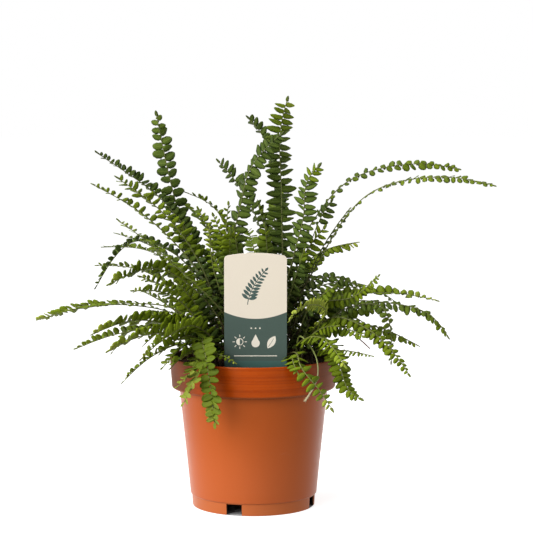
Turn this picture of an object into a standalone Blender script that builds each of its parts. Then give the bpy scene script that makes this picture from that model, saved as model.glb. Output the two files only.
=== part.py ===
"""Lemon button fern (Nephrolepis cordifolia 'Duffii') in a 12 cm nursery pot.

Every frond is one solid: a stalk that stands in its own hole in the soil, a thin rib that arches over,
and pairs of leaflets cut to the rib. Half of them bear a short side frond, which grows out of the stalk
just over the soil. The pot, the soil, a plain plant label, a bare stalk and a runner with a root tip are
the other solids. Metres, +Z up, origin at the middle of the pot's foot, the plant's front towards -Y.
"""

import math
from collections import namedtuple

import bmesh
import bpy
import numpy as np
from mathutils.bvhtree import BVHTree

MM = 0.001
GAP = 0.3 * MM  # clearance between neighbouring solids

# ---------------------------------------------------------------- pot
POT_HEIGHT = 108 * MM
RIM_RADIUS = 60 * MM  # outside, at the lip: a 12 cm pot
COLLAR_HEIGHT = 22 * MM
COLLAR_LOW_RADIUS = 58.6 * MM
BODY_TOP_RADIUS = 53.4 * MM
BODY_LOW_RADIUS = 45.4 * MM
FOOT_HEIGHT = 8.4 * MM
FOOT_RADIUS = 44 * MM
FOOT_TOP_RADIUS = 44.5 * MM
FOOT_STEP = 1 * MM
WALL = 1.5 * MM
LIP_ROUND = 0.9 * MM
POT_SIDES = 36
NOTCH_WIDTH = 11.4 * MM
NOTCH_CLEAR = 0.3 * MM  # wall left between a notch's top and the floor
NOTCH_ANGLES = [math.radians(-108 + 90 * k) for k in range(4)]
DRAIN_RADIUS = 3.5 * MM
DRAIN_RING = 33 * MM
DRAIN_SIDES = 8

# ---------------------------------------------------------------- soil
SOIL_EDGE_Z = 101.5 * MM
SOIL_MOUND = [(0.0, 106 * MM), (22 * MM, 105.4 * MM), (41 * MM, 103.8 * MM)]  # radius, height
STALK_DEPTH = 12 * MM  # how far a stalk goes down into the soil
STALK_FOOT_Z = 104 * MM  # height at which a stalk counts as leaving the soil

# ---------------------------------------------------------------- label
LABEL_WIDTH = 43.6 * MM
LABEL_TOP_Z = 186.6 * MM
LABEL_CROWN = 1.6 * MM  # rise of the top edge's arc
LABEL_LOW_Z = 105.2 * MM
LABEL_THICK = 0.8 * MM
LABEL_X = 1.7 * MM
LABEL_Y = -47 * MM
LABEL_CORNER = 3.2 * MM
STAKE_WIDTH = 12 * MM
STAKE_TIP_Z = 68 * MM

# ---------------------------------------------------------------- fronds
RIB_HALF_WIDTH = (0.80 * MM, 0.42 * MM)  # at the foot and at the tip
RIB_HALF_THICK = (0.65 * MM, 0.45 * MM)
STALK_STEPS = 4
STALK_LEAST = 9 * MM  # bare stalk under the first leaflets
SHOOT_RISE = 5 * MM  # how far up the stalk a side frond grows out
SHOOT_ROOT = 2 * MM  # length of stalk that it takes
LEAFLET_PITCH = 10.6 * MM  # larger than life, with a pair to each pitch
EARLY_TURN = (0.0, 0.4)  # shares of a rib over which its face turns to the front
LATE_TURN = (0.4, 0.7)  # the same on the long arching fronds, whose leaflets lean more than this
LATE_LEAN = 20
LEAFLET_TRIES = [(0, 1), (18, 1), (-18, 1), (36, 1), (-36, 1), (0, 0.7), (25, 0.7), (-25, 0.7)]
ROUND_RINGS = ("heart", "inner")  # their leaflets have three outer points, the others' two
ROOM_THICK = 0.35 * MM  # what is kept clear round a leaflet
ROOM_LENGTH = 1.06

# A ring's stalks stand evenly round it, but each is moved towards its own heading by this share.
HEADING_SHARE = 0.5

# How far from the middle of the pot the stalks of each ring stand.
RINGS = {"heart": 8 * MM, "inner": 18 * MM, "outer": 28 * MM, "skirt": 38 * MM}

# A frond's ring, the points that it passes after its foot (mm), its longest leaflet (mm), how far its
# face turns to the front (degrees), the share of it that is bare stalk, and how far its leaflets hang
# below its face and lean to its tip (degrees).
Frond = namedtuple("Frond", "ring points leaflet turn bare hang lean")
FRONDS = [
    Frond("heart", [(20, -2, 170), (20, 0, 220), (21, 3, 280), (25, 4, 294)], 11, 85, 0.25, 12, 8),
    Frond("heart", [(-15, -12, 190), (-9, -14, 217), (-3, -16, 241), (22, -20, 270)], 9.5, 75, 0.25, 14, 8),
    Frond("heart", [(17, 14, 200), (13, 20, 240), (5, 24, 267), (-6, 26, 279)], 9.5, 85, 0.25, 14, 8),
    Frond("heart", [(8, 28, 187), (0, 32, 209), (-14, 36, 232), (-28, 40, 247)], 9.5, 85, 0.30, 14, 8),
    Frond("heart", [(-16, 2, 190), (-28, 2, 214), (-51, 2, 226)], 7.5, 15, 0.25, 14, 8),
    Frond("heart", [(12, 12, 180), (2, 14, 219)], 9, 65, 0.20, 14, 8),
    Frond("inner", [(-53, -4, 210), (-59, -6, 234), (-69, -8, 284)], 8.5, 82, 0.32, 12, 8),
    Frond("inner", [(-66, -10, 222), (-94, -20, 244), (-111, -28, 256)], 8, 25, 0.25, 12, 8),
    Frond("inner", [(-72, -30, 208), (-112, -50, 235)], 7, 20, 0.25, 12, 8),
    Frond("inner", [(42, 8, 203), (66, 14, 231), (110, 22, 244), (151, 30, 240)], 6, 45, 0.35, 4, 34),
    Frond("inner", [(45, -8, 174), (82, -20, 226), (132, -44, 239), (167, -60, 234)], 5.5, 28, 0.30, 4, 34),
    Frond("inner", [(47, 26, 179), (78, 42, 186)], 7, 10, 0.25, 35, 8),
    Frond("inner", [(29, -20, 184), (35, -22, 208), (39, -24, 237), (48, -26, 248)], 9.5, 82, 0.25, 14, 8),
    Frond("inner", [(-29, -30, 180), (-31, -36, 206)], 4, 60, 0.50, 14, 8),
    Frond("inner", [(28, -10, 168), (52, -16, 204)], 9.5, 70, 0.20, 14, 8),
    Frond("inner", [(-32, -12, 165), (-52, -20, 202)], 8, 60, 0.20, 14, 8),
    Frond("inner", [(12, 38, 190), (24, 70, 226)], 8.5, 30, 0.25, 14, 8),
    Frond("inner", [(-30, 38, 190), (-55, 72, 214)], 8.5, 20, 0.25, 14, 8),
    Frond("outer", [(-62, -30, 212), (-84, -40, 231), (-96, -47, 240)], 9, 25, 0.25, 4, 8),
    Frond("outer", [(-62, -56, 186), (-93, -78, 213)], 8, 5, 0.25, 6, 8),
    Frond("outer", [(-69, 36, 180), (-104, 50, 192)], 7.5, 5, 0.25, 14, 8),
    Frond("outer", [(-77, 52, 178), (-115, 72, 179)], 7, 0, 0.25, 14, 8),
    Frond("outer", [(-56, -8, 182), (-81, -14, 192), (-112, -22, 158)], 7, 20, 0.25, 25, 8),
    Frond("outer", [(-82, 16, 168), (-116, 26, 170)], 7, 20, 0.25, 14, 8),
    Frond("outer", [(-71, -48, 176), (-100, -70, 166)], 8, 45, 0.20, 14, 8),
    Frond("outer", [(-56, 6, 140), (-88, 22, 143), (-164, 70, 124)], 6.5, 35, 0.20, 4, 30),
    Frond("outer", [(-54, -24, 140), (-86, -38, 149), (-132, -61, 147)], 5.5, 0, 0.20, 8, 35),
    Frond("outer", [(52, -8, 144), (93, -14, 148), (126, -20, 139), (139, -25, 123)], 7.5, 20, 0.20, 14, 20),
    Frond("outer", [(52, 18, 144), (92, 28, 150), (137, 44, 142)], 7.5, 20, 0.20, -25, 8),
    Frond("outer", [(42, -24, 148), (69, -34, 154), (88, -48, 172)], 6, 60, 0.20, 14, 8),
    Frond("outer", [(30, 8, 154), (55, 14, 163), (82, 20, 152)], 7.5, 30, 0.25, -5, 8),
    Frond("outer", [(0, 62, 178), (-6, 103, 190)], 7.5, 0, 0.25, 14, 8),
    Frond("outer", [(-45, 62, 162), (-85, 100, 160)], 7.5, 0, 0.25, 14, 8),
    Frond("outer", [(44, 50, 150), (84, 76, 150), (112, 92, 132)], 7.5, 0, 0.25, 14, 8),
    Frond("skirt", [(-60, -60, 160), (-83, -84, 164)], 7, 35, 0.20, 16, 8),
    Frond("skirt", [(-79, -50, 140), (-111, -78, 133)], 8, 35, 0.20, 18, 8),
    Frond("skirt", [(-56, 4, 126), (-92, 6, 124), (-130, 6, 111)], 7.5, 20, 0.15, 25, 8),
    Frond("skirt", [(-71, -62, 132), (-100, -86, 122)], 8, 40, 0.20, 16, 8),
    Frond("skirt", [(-40, -52, 136), (-57, -77, 133), (-76, -102, 119)], 8.5, 45, 0.15, 16, 8),
    Frond("skirt", [(-52, -14, 118), (-70, -26, 112), (-93, -38, 93)], 6.5, 25, 0.15, 20, 8),
    Frond("skirt", [(-44, -40, 122), (-64, -58, 106)], 7.5, 20, 0.20, 16, 8),
    Frond("skirt", [(-33, -50, 115), (-39, -68, 102), (-49, -75, 83)], 8, 10, 0.15, 10, 8),
    Frond("skirt", [(-35, -51, 127), (-32, -66, 114), (-30, -69, 102), (-26, -69, 67)], 8, 0, 0.15, 10, 8),
    Frond("skirt", [(30, -49, 117), (33, -61, 109), (46, -66, 93), (56, -68, 78)], 8.5, 15, 0.30, 10, 8),
    Frond("skirt", [(55, -35, 120), (60, -46, 109), (67, -54, 91), (77, -58, 85)], 9, 25, 0.15, 12, 8),
    Frond("skirt", [(58, -44, 118), (84, -60, 116)], 5, 10, 0.20, 20, 8),
    Frond("skirt", [(60, -34, 140), (83, -46, 131), (109, -62, 102)], 6.5, 30, 0.20, 20, 8),
    Frond("skirt", [(56, 14, 130), (88, 22, 126), (122, 30, 110)], 7.5, 20, 0.15, 20, 8),
    Frond("skirt", [(50, -46, 147), (43, -60, 152), (32, -72, 151), (24, -80, 142)], 5, 60, 0.20, 0, 8),
    Frond("skirt", [(46, -64, 130), (64, -90, 112)], 7.5, 20, 0.20, 16, 8),
    Frond("skirt", [(-37, -44, 119), (-48, -57, 116), (-58, -64, 107)], 8.5, 35, 0.15, 12, 8),
    Frond("skirt", [(-18, 70, 132), (-30, 103, 97)], 7.5, 0, 0.15, 14, 8),
    Frond("skirt", [(32, 68, 132), (56, 99, 97)], 7.5, 0, 0.15, 14, 8),
    Frond("skirt", [(-70, 42, 132), (-108, 70, 98)], 7.5, 0, 0.15, 14, 8),
    Frond("skirt", [(66, 40, 132), (104, 60, 98)], 7.5, 0, 0.15, 14, 8),
]

# Short side fronds, each with the number of the frond that it grows from.
Shoot = namedtuple("Shoot", "parent points leaflet turn bare hang lean")
SHOOTS = [
    Shoot(19, [(-12, -36, 146), (-28, -42, 184)], 7.5, 50, 0.15, 16, 8),
    Shoot(18, [(-38, -34, 146), (-54, -50, 168)], 7.5, 50, 0.15, 16, 8),
    Shoot(50, [(-44, -34, 127), (-57, -45, 123), (-66, -50, 115)], 8, 40, 0.15, 16, 8),
    Shoot(37, [(-52, -24, 134), (-76, -38, 140)], 7.5, 45, 0.15, 16, 8),
    Shoot(22, [(-44, -14, 150), (-66, -24, 182)], 7.5, 50, 0.15, 16, 8),
    Shoot(25, [(-52, -8, 152), (-82, -24, 168)], 7.5, 40, 0.15, 16, 8),
    Shoot(36, [(-58, 22, 138), (-84, 30, 152)], 7.5, 30, 0.15, 16, 8),
    Shoot(1, [(-8, -18, 160), (-14, -22, 204)], 8, 70, 0.15, 16, 8),
    Shoot(14, [(12, -20, 160), (8, -20, 206)], 8, 70, 0.15, 16, 8),
    Shoot(13, [(-16, -30, 165), (-16, -38, 204)], 8, 70, 0.15, 16, 8),
    Shoot(48, [(46, -40, 132), (60, -56, 137)], 7.5, 60, 0.15, 16, 8),
    Shoot(29, [(42, -34, 150), (58, -46, 164)], 8, 50, 0.15, 16, 8),
    Shoot(45, [(53, -29, 131), (78, -58, 129)], 7.5, 40, 0.15, 16, 8),
    Shoot(46, [(62, 2, 138), (94, 2, 142)], 8, 25, 0.15, 20, 8),
    Shoot(27, [(48, -16, 146), (74, -26, 153)], 7.5, 50, 0.15, 16, 8),
    Shoot(47, [(58, 18, 142), (86, 24, 156)], 8, 30, 0.15, 16, 8),
    Shoot(52, [(8, 58, 138), (4, 80, 150)], 8, 10, 0.15, 16, 8),
    Shoot(51, [(-26, 56, 140), (-38, 78, 150)], 8, 10, 0.15, 16, 8),
    Shoot(53, [(-42, 46, 140), (-62, 62, 150)], 8, 10, 0.15, 16, 8),
    Shoot(54, [(48, 44, 140), (70, 58, 150)], 8, 10, 0.15, 16, 8),
    Shoot(32, [(-20, 46, 160), (-34, 62, 190)], 8, 10, 0.15, 16, 8),
    Shoot(33, [(34, 36, 158), (50, 52, 176)], 8, 10, 0.15, 16, 8),
    Shoot(28, [(44, 28, 146), (76, 40, 153)], 7.5, 30, 0.15, 16, 8),
    Shoot(12, [(26, -30, 156), (36, -40, 190)], 8.5, 70, 0.15, 16, 8),
    Shoot(44, [(64, -22, 144), (88, -30, 148), (97, -35, 106)], 6, 20, 0.20, 16, 8),
    Shoot(40, [(-51, -32, 135), (-77, -55, 122)], 7.5, 45, 0.15, 16, 8),
    Shoot(41, [(-38, -48, 113), (-44, -66, 104), (-54, -71, 95)], 7.5, 10, 0.20, 14, 8),
]

# The runner that climbs out of the soil and hangs over the rim, and a stalk that has lost its leaflets.
RUNNER = [(30, -30, 104), (33, -38, 127), (44, -47, 113), (45, -50, 102), (36, -55, 84)]
RUNNER_RADII = (0.65 * MM, 0.5 * MM)
RUNNER_STEPS = 14
BARE_STALK = [(30, -14, 104), (48, -22, 127), (66, -30, 129), (82, -38, 118)]
BARE_STALK_RADII = (0.7 * MM, 0.45 * MM)
BARE_STALK_STEPS = 10

COLOURS = {  # colour, roughness
    "pot": ((0.42, 0.12, 0.04), 0.42),
    "soil": ((0.045, 0.022, 0.012), 0.95),
    "label": ((0.80, 0.75, 0.66), 0.5),
    "leaf": ((0.075, 0.16, 0.02), 0.45),
    "runner": ((0.38, 0.34, 0.12), 0.6),
    "bare_stalk": ((0.16, 0.09, 0.04), 0.6),
}


def clear_scene():
    for old in list(bpy.data.objects):
        bpy.data.objects.remove(old)


def material(name):
    made = bpy.data.materials.new(name)
    made.use_nodes = True
    shader = made.node_tree.nodes["Principled BSDF"]
    colour, roughness = COLOURS[name]
    shader.inputs["Base Color"].default_value = (*colour, 1)
    shader.inputs["Roughness"].default_value = roughness
    shader.inputs["Metallic"].default_value = 0
    return made


def add_object(name, mesh, finish=None):
    """Links a mesh as an object. With no finish it is a cutter, which the build leaves out."""
    made = bpy.data.objects.new(name, mesh)
    bpy.context.scene.collection.objects.link(made)
    if finish:
        mesh.materials.append(finish)
    else:
        made.hide_render = True
        made.display_type = "WIRE"
    return made


def mesh_of(bm, name):
    bmesh.ops.recalc_face_normals(bm, faces=bm.faces)
    mesh = bpy.data.meshes.new(name)
    bm.to_mesh(mesh)
    bm.free()
    return mesh


def turned(name, profile, sides):
    """A profile of (radius, height) points, from the axis round to the axis, spun about Z."""
    bm = bmesh.new()
    points = [bm.verts.new((radius, 0, height)) for radius, height in profile]
    edges = [bm.edges.new(pair) for pair in zip(points, points[1:])]
    bmesh.ops.spin(
        bm, geom=points + edges, cent=(0, 0, 0), axis=(0, 0, 1),
        angle=math.tau, steps=sides, use_merge=True,
    )
    bmesh.ops.remove_doubles(bm, verts=bm.verts, dist=0.01 * MM)
    mesh = mesh_of(bm, name)
    mesh.shade_smooth()
    mesh.set_sharp_from_angle(angle=math.radians(30))
    return mesh


def prism(name, outline, low, high, axis="Z"):
    """An outline extruded from low to high along Z, or with axis Y, from front to back."""
    bm = bmesh.new()
    if axis == "Z":
        ring = [bm.verts.new((x, y, low)) for x, y in outline]
        way = (0, 0, high - low)
    else:
        ring = [bm.verts.new((x, low, z)) for x, z in outline]
        way = (0, high - low, 0)
    face = bm.faces.new(ring)
    grown = bmesh.ops.extrude_face_region(bm, geom=[face])
    moved = [part for part in grown["geom"] if isinstance(part, bmesh.types.BMVert)]
    bmesh.ops.translate(bm, verts=moved, vec=way)
    return mesh_of(bm, name)


def rectangle(centre, along, across, length, width):
    """Four corners round a point of the plan: length along one unit vector, width along the other."""
    return [
        tuple(centre + along * length / 2 * a + across * width / 2 * b)
        for a, b in ((-1, -1), (1, -1), (1, 1), (-1, 1))
    ]


def cut(target, cutters):
    """Takes a collection of cutters away from the target, and keeps the result as its mesh."""
    group = bpy.data.collections.new(target.name + "_cutters")
    for cutter in cutters:
        group.objects.link(cutter)
    modifier = target.modifiers.new("cut", "BOOLEAN")
    modifier.operand_type = "COLLECTION"
    modifier.collection = group
    modifier.operation = "DIFFERENCE"
    bpy.context.view_layer.update()
    graph = bpy.context.evaluated_depsgraph_get()
    result = bpy.data.meshes.new_from_object(target.evaluated_get(graph))
    target.modifiers.remove(modifier)
    target.data = result
    for cutter in cutters:
        bpy.data.objects.remove(cutter)
    bpy.data.collections.remove(group)


def make_pot():
    collar_low = POT_HEIGHT - COLLAR_HEIGHT
    inner_low = BODY_LOW_RADIUS - WALL
    profile = [
        (0, FOOT_HEIGHT),
        (FOOT_TOP_RADIUS - WALL, FOOT_HEIGHT),
        (FOOT_RADIUS - WALL, 0),
        (FOOT_RADIUS, 0),
        (FOOT_TOP_RADIUS, FOOT_HEIGHT),
        (BODY_LOW_RADIUS, FOOT_HEIGHT + FOOT_STEP),
        (BODY_TOP_RADIUS, collar_low),
        (COLLAR_LOW_RADIUS, collar_low),
        (RIM_RADIUS, POT_HEIGHT - LIP_ROUND),
        (RIM_RADIUS - LIP_ROUND / 2, POT_HEIGHT),
        (RIM_RADIUS - WALL, POT_HEIGHT),
        (COLLAR_LOW_RADIUS - WALL, collar_low + WALL),
        (BODY_TOP_RADIUS - WALL, collar_low + WALL),
        (inner_low, FOOT_HEIGHT + WALL),
        (0, FOOT_HEIGHT + WALL),
    ]
    pot = add_object("pot", turned("pot", profile, POT_SIDES), material("pot"))
    cutters = []
    for angle in NOTCH_ANGLES:
        along = np.array([math.cos(angle), math.sin(angle)])
        across = np.array([-math.sin(angle), math.cos(angle)])
        notch = rectangle(along * FOOT_RADIUS, along, across, 10 * WALL, NOTCH_WIDTH)
        top = FOOT_HEIGHT - NOTCH_CLEAR
        cutters.append(add_object("notch", prism("notch", notch, -5 * MM, top)))
        drain = [
            tuple(along * DRAIN_RING + DRAIN_RADIUS * np.array([math.cos(turn), math.sin(turn)]))
            for turn in (math.tau * k / DRAIN_SIDES for k in range(DRAIN_SIDES))
        ]
        top = FOOT_HEIGHT + 3 * WALL
        cutters.append(add_object("drain", prism("drain", drain, FOOT_HEIGHT - WALL, top)))
    cut(pot, cutters)
    return pot


def make_soil(feet):
    """The potting soil, which fills the pot, with a plain hole for each stalk and for the label's stake."""
    ledge_z = POT_HEIGHT - COLLAR_HEIGHT + WALL
    floor_z = FOOT_HEIGHT + WALL + GAP
    collar_inner = COLLAR_LOW_RADIUS - WALL - 2 * GAP
    profile = [
        (0, floor_z),
        (BODY_LOW_RADIUS - WALL - 2 * GAP, floor_z),
        (BODY_TOP_RADIUS - WALL - 2 * GAP, ledge_z + GAP),
        (collar_inner, ledge_z + GAP),
        (collar_inner, SOIL_EDGE_Z),
    ] + SOIL_MOUND[::-1]
    soil = add_object("soil", turned("soil", profile, POT_SIDES), material("soil"))
    low = STALK_FOOT_Z - STALK_DEPTH - GAP
    high = STALK_FOOT_Z + STALK_DEPTH
    cutters = []
    for foot, side, half_width, half_thick in feet:
        across = np.array([-side[1], side[0]])
        hole = rectangle(foot, side, across, 2 * (half_width + GAP), 2 * (half_thick + GAP))
        cutters.append(add_object("hole", prism("hole", hole, low, high)))
    slot_low = STAKE_TIP_Z - GAP
    centre = np.array([LABEL_X, LABEL_Y])
    slot = rectangle(centre, np.array([1, 0]), np.array([0, 1]), STAKE_WIDTH + 2 * GAP, LABEL_THICK + 2 * GAP)
    cutters.append(add_object("slot", prism("slot", slot, slot_low, high)))
    cut(soil, cutters)
    return soil


def make_label():
    """A stiff card with an arched top edge, round corners and a stake that is pushed into the soil."""
    half = LABEL_WIDTH / 2
    corner_z = LABEL_TOP_Z - LABEL_CROWN - LABEL_CORNER
    right = [(half, LABEL_LOW_Z)]
    for step in range(4):
        turn = math.pi / 2 * step / 3
        right.append((
            half - LABEL_CORNER + LABEL_CORNER * math.cos(turn),
            corner_z + LABEL_CORNER * math.sin(turn),
        ))
    for step in (1, 2):
        across = (half - LABEL_CORNER) * (1 - step / 3)
        rise = LABEL_CROWN * (1 - (across / (half - LABEL_CORNER)) ** 2)
        right.append((across, LABEL_TOP_Z - LABEL_CROWN + rise))
    left = [(-x, z) for x, z in right[::-1]]
    stake = STAKE_WIDTH / 2
    low = [
        (-stake, LABEL_LOW_Z),
        (-stake, STAKE_TIP_Z + STAKE_WIDTH),
        (0, STAKE_TIP_Z),
        (stake, STAKE_TIP_Z + STAKE_WIDTH),
        (stake, LABEL_LOW_Z),
    ]
    outline = [(x + LABEL_X, z) for x, z in right + [(0, LABEL_TOP_Z)] + left + low]
    front = LABEL_Y - LABEL_THICK / 2
    mesh = prism("label", outline, front, front + LABEL_THICK, axis="Y")
    return add_object("label", mesh, material("label"))


def smooth_path(points, start=None, samples=40):
    """A smooth curve through the points, as a dense list. It leaves the first one in the start direction."""
    points = np.array(points, float)
    chord = np.linalg.norm(np.diff(points, axis=0), axis=1)
    slope = np.diff(points, axis=0) / chord[:, None]
    ways = np.empty_like(points)
    ways[1:-1] = (
        slope[:-1] * chord[1:, None] + slope[1:] * chord[:-1, None]
    ) / (chord[1:] + chord[:-1])[:, None]
    ways[0] = slope[0] if start is None else start
    ways[-1] = 1.5 * slope[-1] - 0.5 * ways[-2]
    t = np.linspace(0, 1, samples, endpoint=False)[:, None]
    curve = [
        (2 * t**3 - 3 * t**2 + 1) * points[i]
        + (t**3 - 2 * t**2 + t) * ways[i] * chord[i]
        + (3 * t**2 - 2 * t**3) * points[i + 1]
        + (t**3 - t**2) * ways[i + 1] * chord[i]
        for i in range(len(chord))
    ]
    return np.vstack(curve + [points[-1:]])


def along(curve, distances):
    """Points of a dense curve at the given distances from its start."""
    run = np.concatenate([[0], np.cumsum(np.linalg.norm(np.diff(curve, axis=0), axis=1))])
    return np.stack([np.interp(distances, run, curve[:, k]) for k in range(3)], axis=1), run[-1]


def unit(vectors):
    return vectors / np.linalg.norm(vectors, axis=-1, keepdims=True)


def feet_of_rings():
    """Each frond's foot, in the order in which the fronds of a ring head off."""
    feet = {}
    for ring, radius in RINGS.items():
        members = [i for i, frond in enumerate(FRONDS) if frond.ring == ring]
        heading = {i: math.atan2(FRONDS[i].points[0][1], FRONDS[i].points[0][0]) for i in members}
        members.sort(key=heading.get)
        step = math.tau / len(members)
        drift = sum(np.exp(1j * (heading[i] - k * step)) for k, i in enumerate(members))
        for k, i in enumerate(members):
            turn = np.angle(drift) + k * step
            turn += HEADING_SHARE * np.angle(np.exp(1j * (heading[i] - turn)))
            feet[i] = np.array([radius * math.cos(turn), radius * math.sin(turn), STALK_FOOT_Z])
    return feet


class Blade:
    """A frond's geometry: stations along its rib, the rib's size there, and its side and face directions."""

    def __init__(self, frond, foot, way=(0, 0, 1), bears=False):
        through = np.array(frond.points) * MM
        curve = smooth_path([foot, *through], way)
        _, length = along(curve, [0])
        start = max(length * frond.bare, STALK_LEAST)
        self.frond = frond
        self.round = getattr(frond, "ring", None) in ROUND_RINGS
        self.pairs = max(3, round((length - start) / LEAFLET_PITCH))
        if bears:
            low, high = SHOOT_RISE - SHOOT_ROOT / 2, SHOOT_RISE + SHOOT_ROOT / 2
            stalk = [0, low, *np.linspace(high, start, STALK_STEPS - 1)[:-1]]
        else:
            stalk = np.linspace(0, start, (STALK_STEPS if hasattr(frond, "ring") else 2) + 1)[:-1]
        leafy = np.linspace(start, length - 2 * MM, self.pairs + 1)
        distances = np.concatenate([stalk, leafy, [length]])
        points, _ = along(curve, distances)
        ahead, _ = along(curve, np.minimum(distances + MM, length))
        behind, _ = along(curve, np.maximum(distances - MM, 0))
        ways = unit(ahead - behind)
        ways[0] = way
        heading = through[-1] - foot
        level = unit(np.array([-heading[1], heading[0], 0.0]))
        level = level if level[1] < 0 else -level
        sides = unit(level - (ways @ level)[:, None] * ways)
        faces = np.cross(sides, ways)
        begin, end = LATE_TURN if frond.lean > LATE_LEAN else EARLY_TURN
        turn = math.radians(frond.turn) * np.clip((distances / length - begin) / (end - begin), 0, 1)[:, None]
        self.sides = np.cos(turn) * sides - np.sin(turn) * faces
        self.faces = np.cross(self.sides, ways)
        share = (distances / length)[:, None]
        self.half_width = RIB_HALF_WIDTH[0] * (1 - share) + RIB_HALF_WIDTH[1] * share
        self.half_thick = RIB_HALF_THICK[0] * (1 - share) + RIB_HALF_THICK[1] * share
        self.points, self.ways = points, ways
        self.first = len(stalk)
        self.borne = {}
        self.shoots = {}

    def sink(self):
        """Takes the stalk's foot down into its hole in the soil."""
        self.points = np.vstack([self.points[0] - (0, 0, STALK_DEPTH), self.points])
        for field in ("ways", "sides", "faces", "half_width", "half_thick"):
            kept = getattr(self, field)
            setattr(self, field, np.vstack([kept[:1], kept]))
        self.first += 1

    def bear(self, shoot):
        """Starts a side frond on the side of the stalk that it heads for."""
        low = 2
        foot = (self.points[low] + self.points[low + 1]) / 2
        side, face = (unit(ways[low] + ways[low + 1]) for ways in (self.sides, self.faces))
        heading = (np.array(shoot.points[0]) * MM - foot) * (1, 1, 0)
        outs = (face, side, -face, -side)
        k = max(range(4), key=lambda k: np.dot(outs[k], heading))
        half = (self.half_thick, self.half_width)[k % 2][low]
        blade = Blade(shoot, foot + outs[k] * half, tuple(unit(outs[k] + np.array([0, 0, 1.0]))))
        self.shoots[low, k] = blade
        return blade

    def corners(self):
        """The rib's four corners at each station but the last: left and right above, right and left below."""
        out = self.sides * self.half_width
        up = self.faces * self.half_thick
        ring = [self.points + a * out + b * up for a, b in ((-1, 1), (1, 1), (1, -1), (-1, -1))]
        return np.stack(ring, axis=1)[:-1]

    def leaflet_rim(self, pair, hand, tilt, scale):
        """A leaflet's outer points, on the side that hand (-1 or 1) names."""
        i = self.first + pair
        share = (pair + 0.5) / self.pairs
        length = self.frond.leaflet * MM * scale * min(1, 0.7 + 1.9 * share) * (1 - 0.55 * share**5)
        out = self.sides[i] * hand
        sink = math.radians(self.frond.hang + tilt)
        lean = math.radians(self.frond.lean)
        across = math.cos(sink) * out - math.sin(sink) * self.faces[i]
        reach = math.cos(lean) * across + math.sin(lean) * self.ways[i]
        root = self.points[i : i + 2] + out * self.half_width[i]
        pitch = root[1] - root[0]
        if self.round:
            outline = ((0.04, 0.60), (0.50, 1.0), (0.86, 0.66))
        else:
            outline = ((0.12, 0.90), (0.66, 0.94))
        return np.array([root[0] + a * pitch + b * length * reach for a, b in outline])

    def room(self, pair, hand, rim):
        """A leaflet made a little larger all round, as the space that has to be free of other fronds."""
        i = self.first + pair
        out = self.sides[i] * hand * (self.half_width[i] + 0.2 * MM)
        root = self.points[i : i + 2] + out
        middle = root.mean(axis=0)
        wide = middle + (rim[::-1] - middle) * ROOM_LENGTH
        normal = unit(np.cross(rim[-1] - rim[0], rim.mean(axis=0) - middle)) * ROOM_THICK
        thick = unit(self.faces[i]) * (self.half_thick[i] + ROOM_THICK)
        normal = normal if np.dot(normal, thick) > 0 else -normal
        above = np.vstack([root + thick, wide + normal])
        below = np.vstack([root - thick, wide - normal])
        count = len(above)
        faces = []
        for k in range(count - 2):
            faces += [(0, k + 1, k + 2), (count, count + k + 2, count + k + 1)]
        for k in range(count):
            faces += quad(k, k + count, (k + 1) % count + count, (k + 1) % count)
        return BVHTree.FromPolygons([tuple(p) for p in np.vstack([above, below])], faces)

    def lay(self, verts, faces, root=None, with_shoots=True):
        """Adds the frond's points and triangles: a four-sided rib with its leaflets and side fronds.
        A side frond starts from the four corners that root names in its parent's rib."""
        rings = []
        for ring in self.corners():
            if root and not rings:
                rings.append(matched(root, verts, self.corners()[1]))
                continue
            rings.append(list(range(len(verts), len(verts) + 4)))
            verts += [tuple(p) for p in ring]
        end = len(verts)
        verts.append(tuple(self.points[-1]))
        if not root:
            faces += quad(*rings[0][::-1])
        for i, (near_ring, far_ring) in enumerate(zip(rings, rings[1:])):
            for k in range(4):
                low, high = near_ring[k], near_ring[(k + 1) % 4]
                low_next, high_next = far_ring[k], far_ring[(k + 1) % 4]
                hand = {1: 1, 3: -1}.get(k)
                rim = self.borne.get((i - self.first, hand))
                shoot = self.shoots.get((i, k))
                if shoot and with_shoots:
                    shoot.lay(verts, faces, (low, high, high_next, low_next))
                elif rim is None:
                    faces += quad(low, high, high_next, low_next)
                else:
                    outer = list(range(len(verts), len(verts) + len(rim)))
                    verts += [tuple(p) for p in rim]
                    near, far, tip = outer[0], outer[-1], outer[len(outer) // 2]
                    faces += [(low, high, near), (high_next, low_next, far)]
                    if len(outer) == 3:
                        faces += [(low, near, tip), (low, tip, low_next), (low_next, tip, far)]
                        faces += [(high, tip, near), (high, high_next, tip), (high_next, far, tip)]
                    else:
                        faces += [(low, near, far), (low, far, low_next)]
                        faces += [(high, far, near), (high, high_next, far)]
        for k in range(4):
            faces.append((rings[-1][k], rings[-1][(k + 1) % 4], end))

    def surface(self, with_shoots=True):
        verts, faces = [], []
        self.lay(verts, faces, None, with_shoots)
        return verts, faces

    def tree(self):
        return BVHTree.FromPolygons(*self.surface(with_shoots=False))

    def crosses_itself(self):
        verts, faces = self.surface(with_shoots=False)
        tree = BVHTree.FromPolygons(verts, faces)
        return any(not set(faces[a]) & set(faces[b]) for a, b in tree.overlap(tree))

    def crowds(self, pair, hand, rim):
        """Whether a leaflet runs into the one before it, as on the inside of a sharp bend."""
        before = self.borne.get((pair - 1, hand))
        way = self.ways[self.first + pair]
        return before is not None and np.dot(rim[0] - before[-1], way) < 0.3 * MM


def quad(a, b, c, d):
    return [(a, b, c), (a, c, d)]


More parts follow.
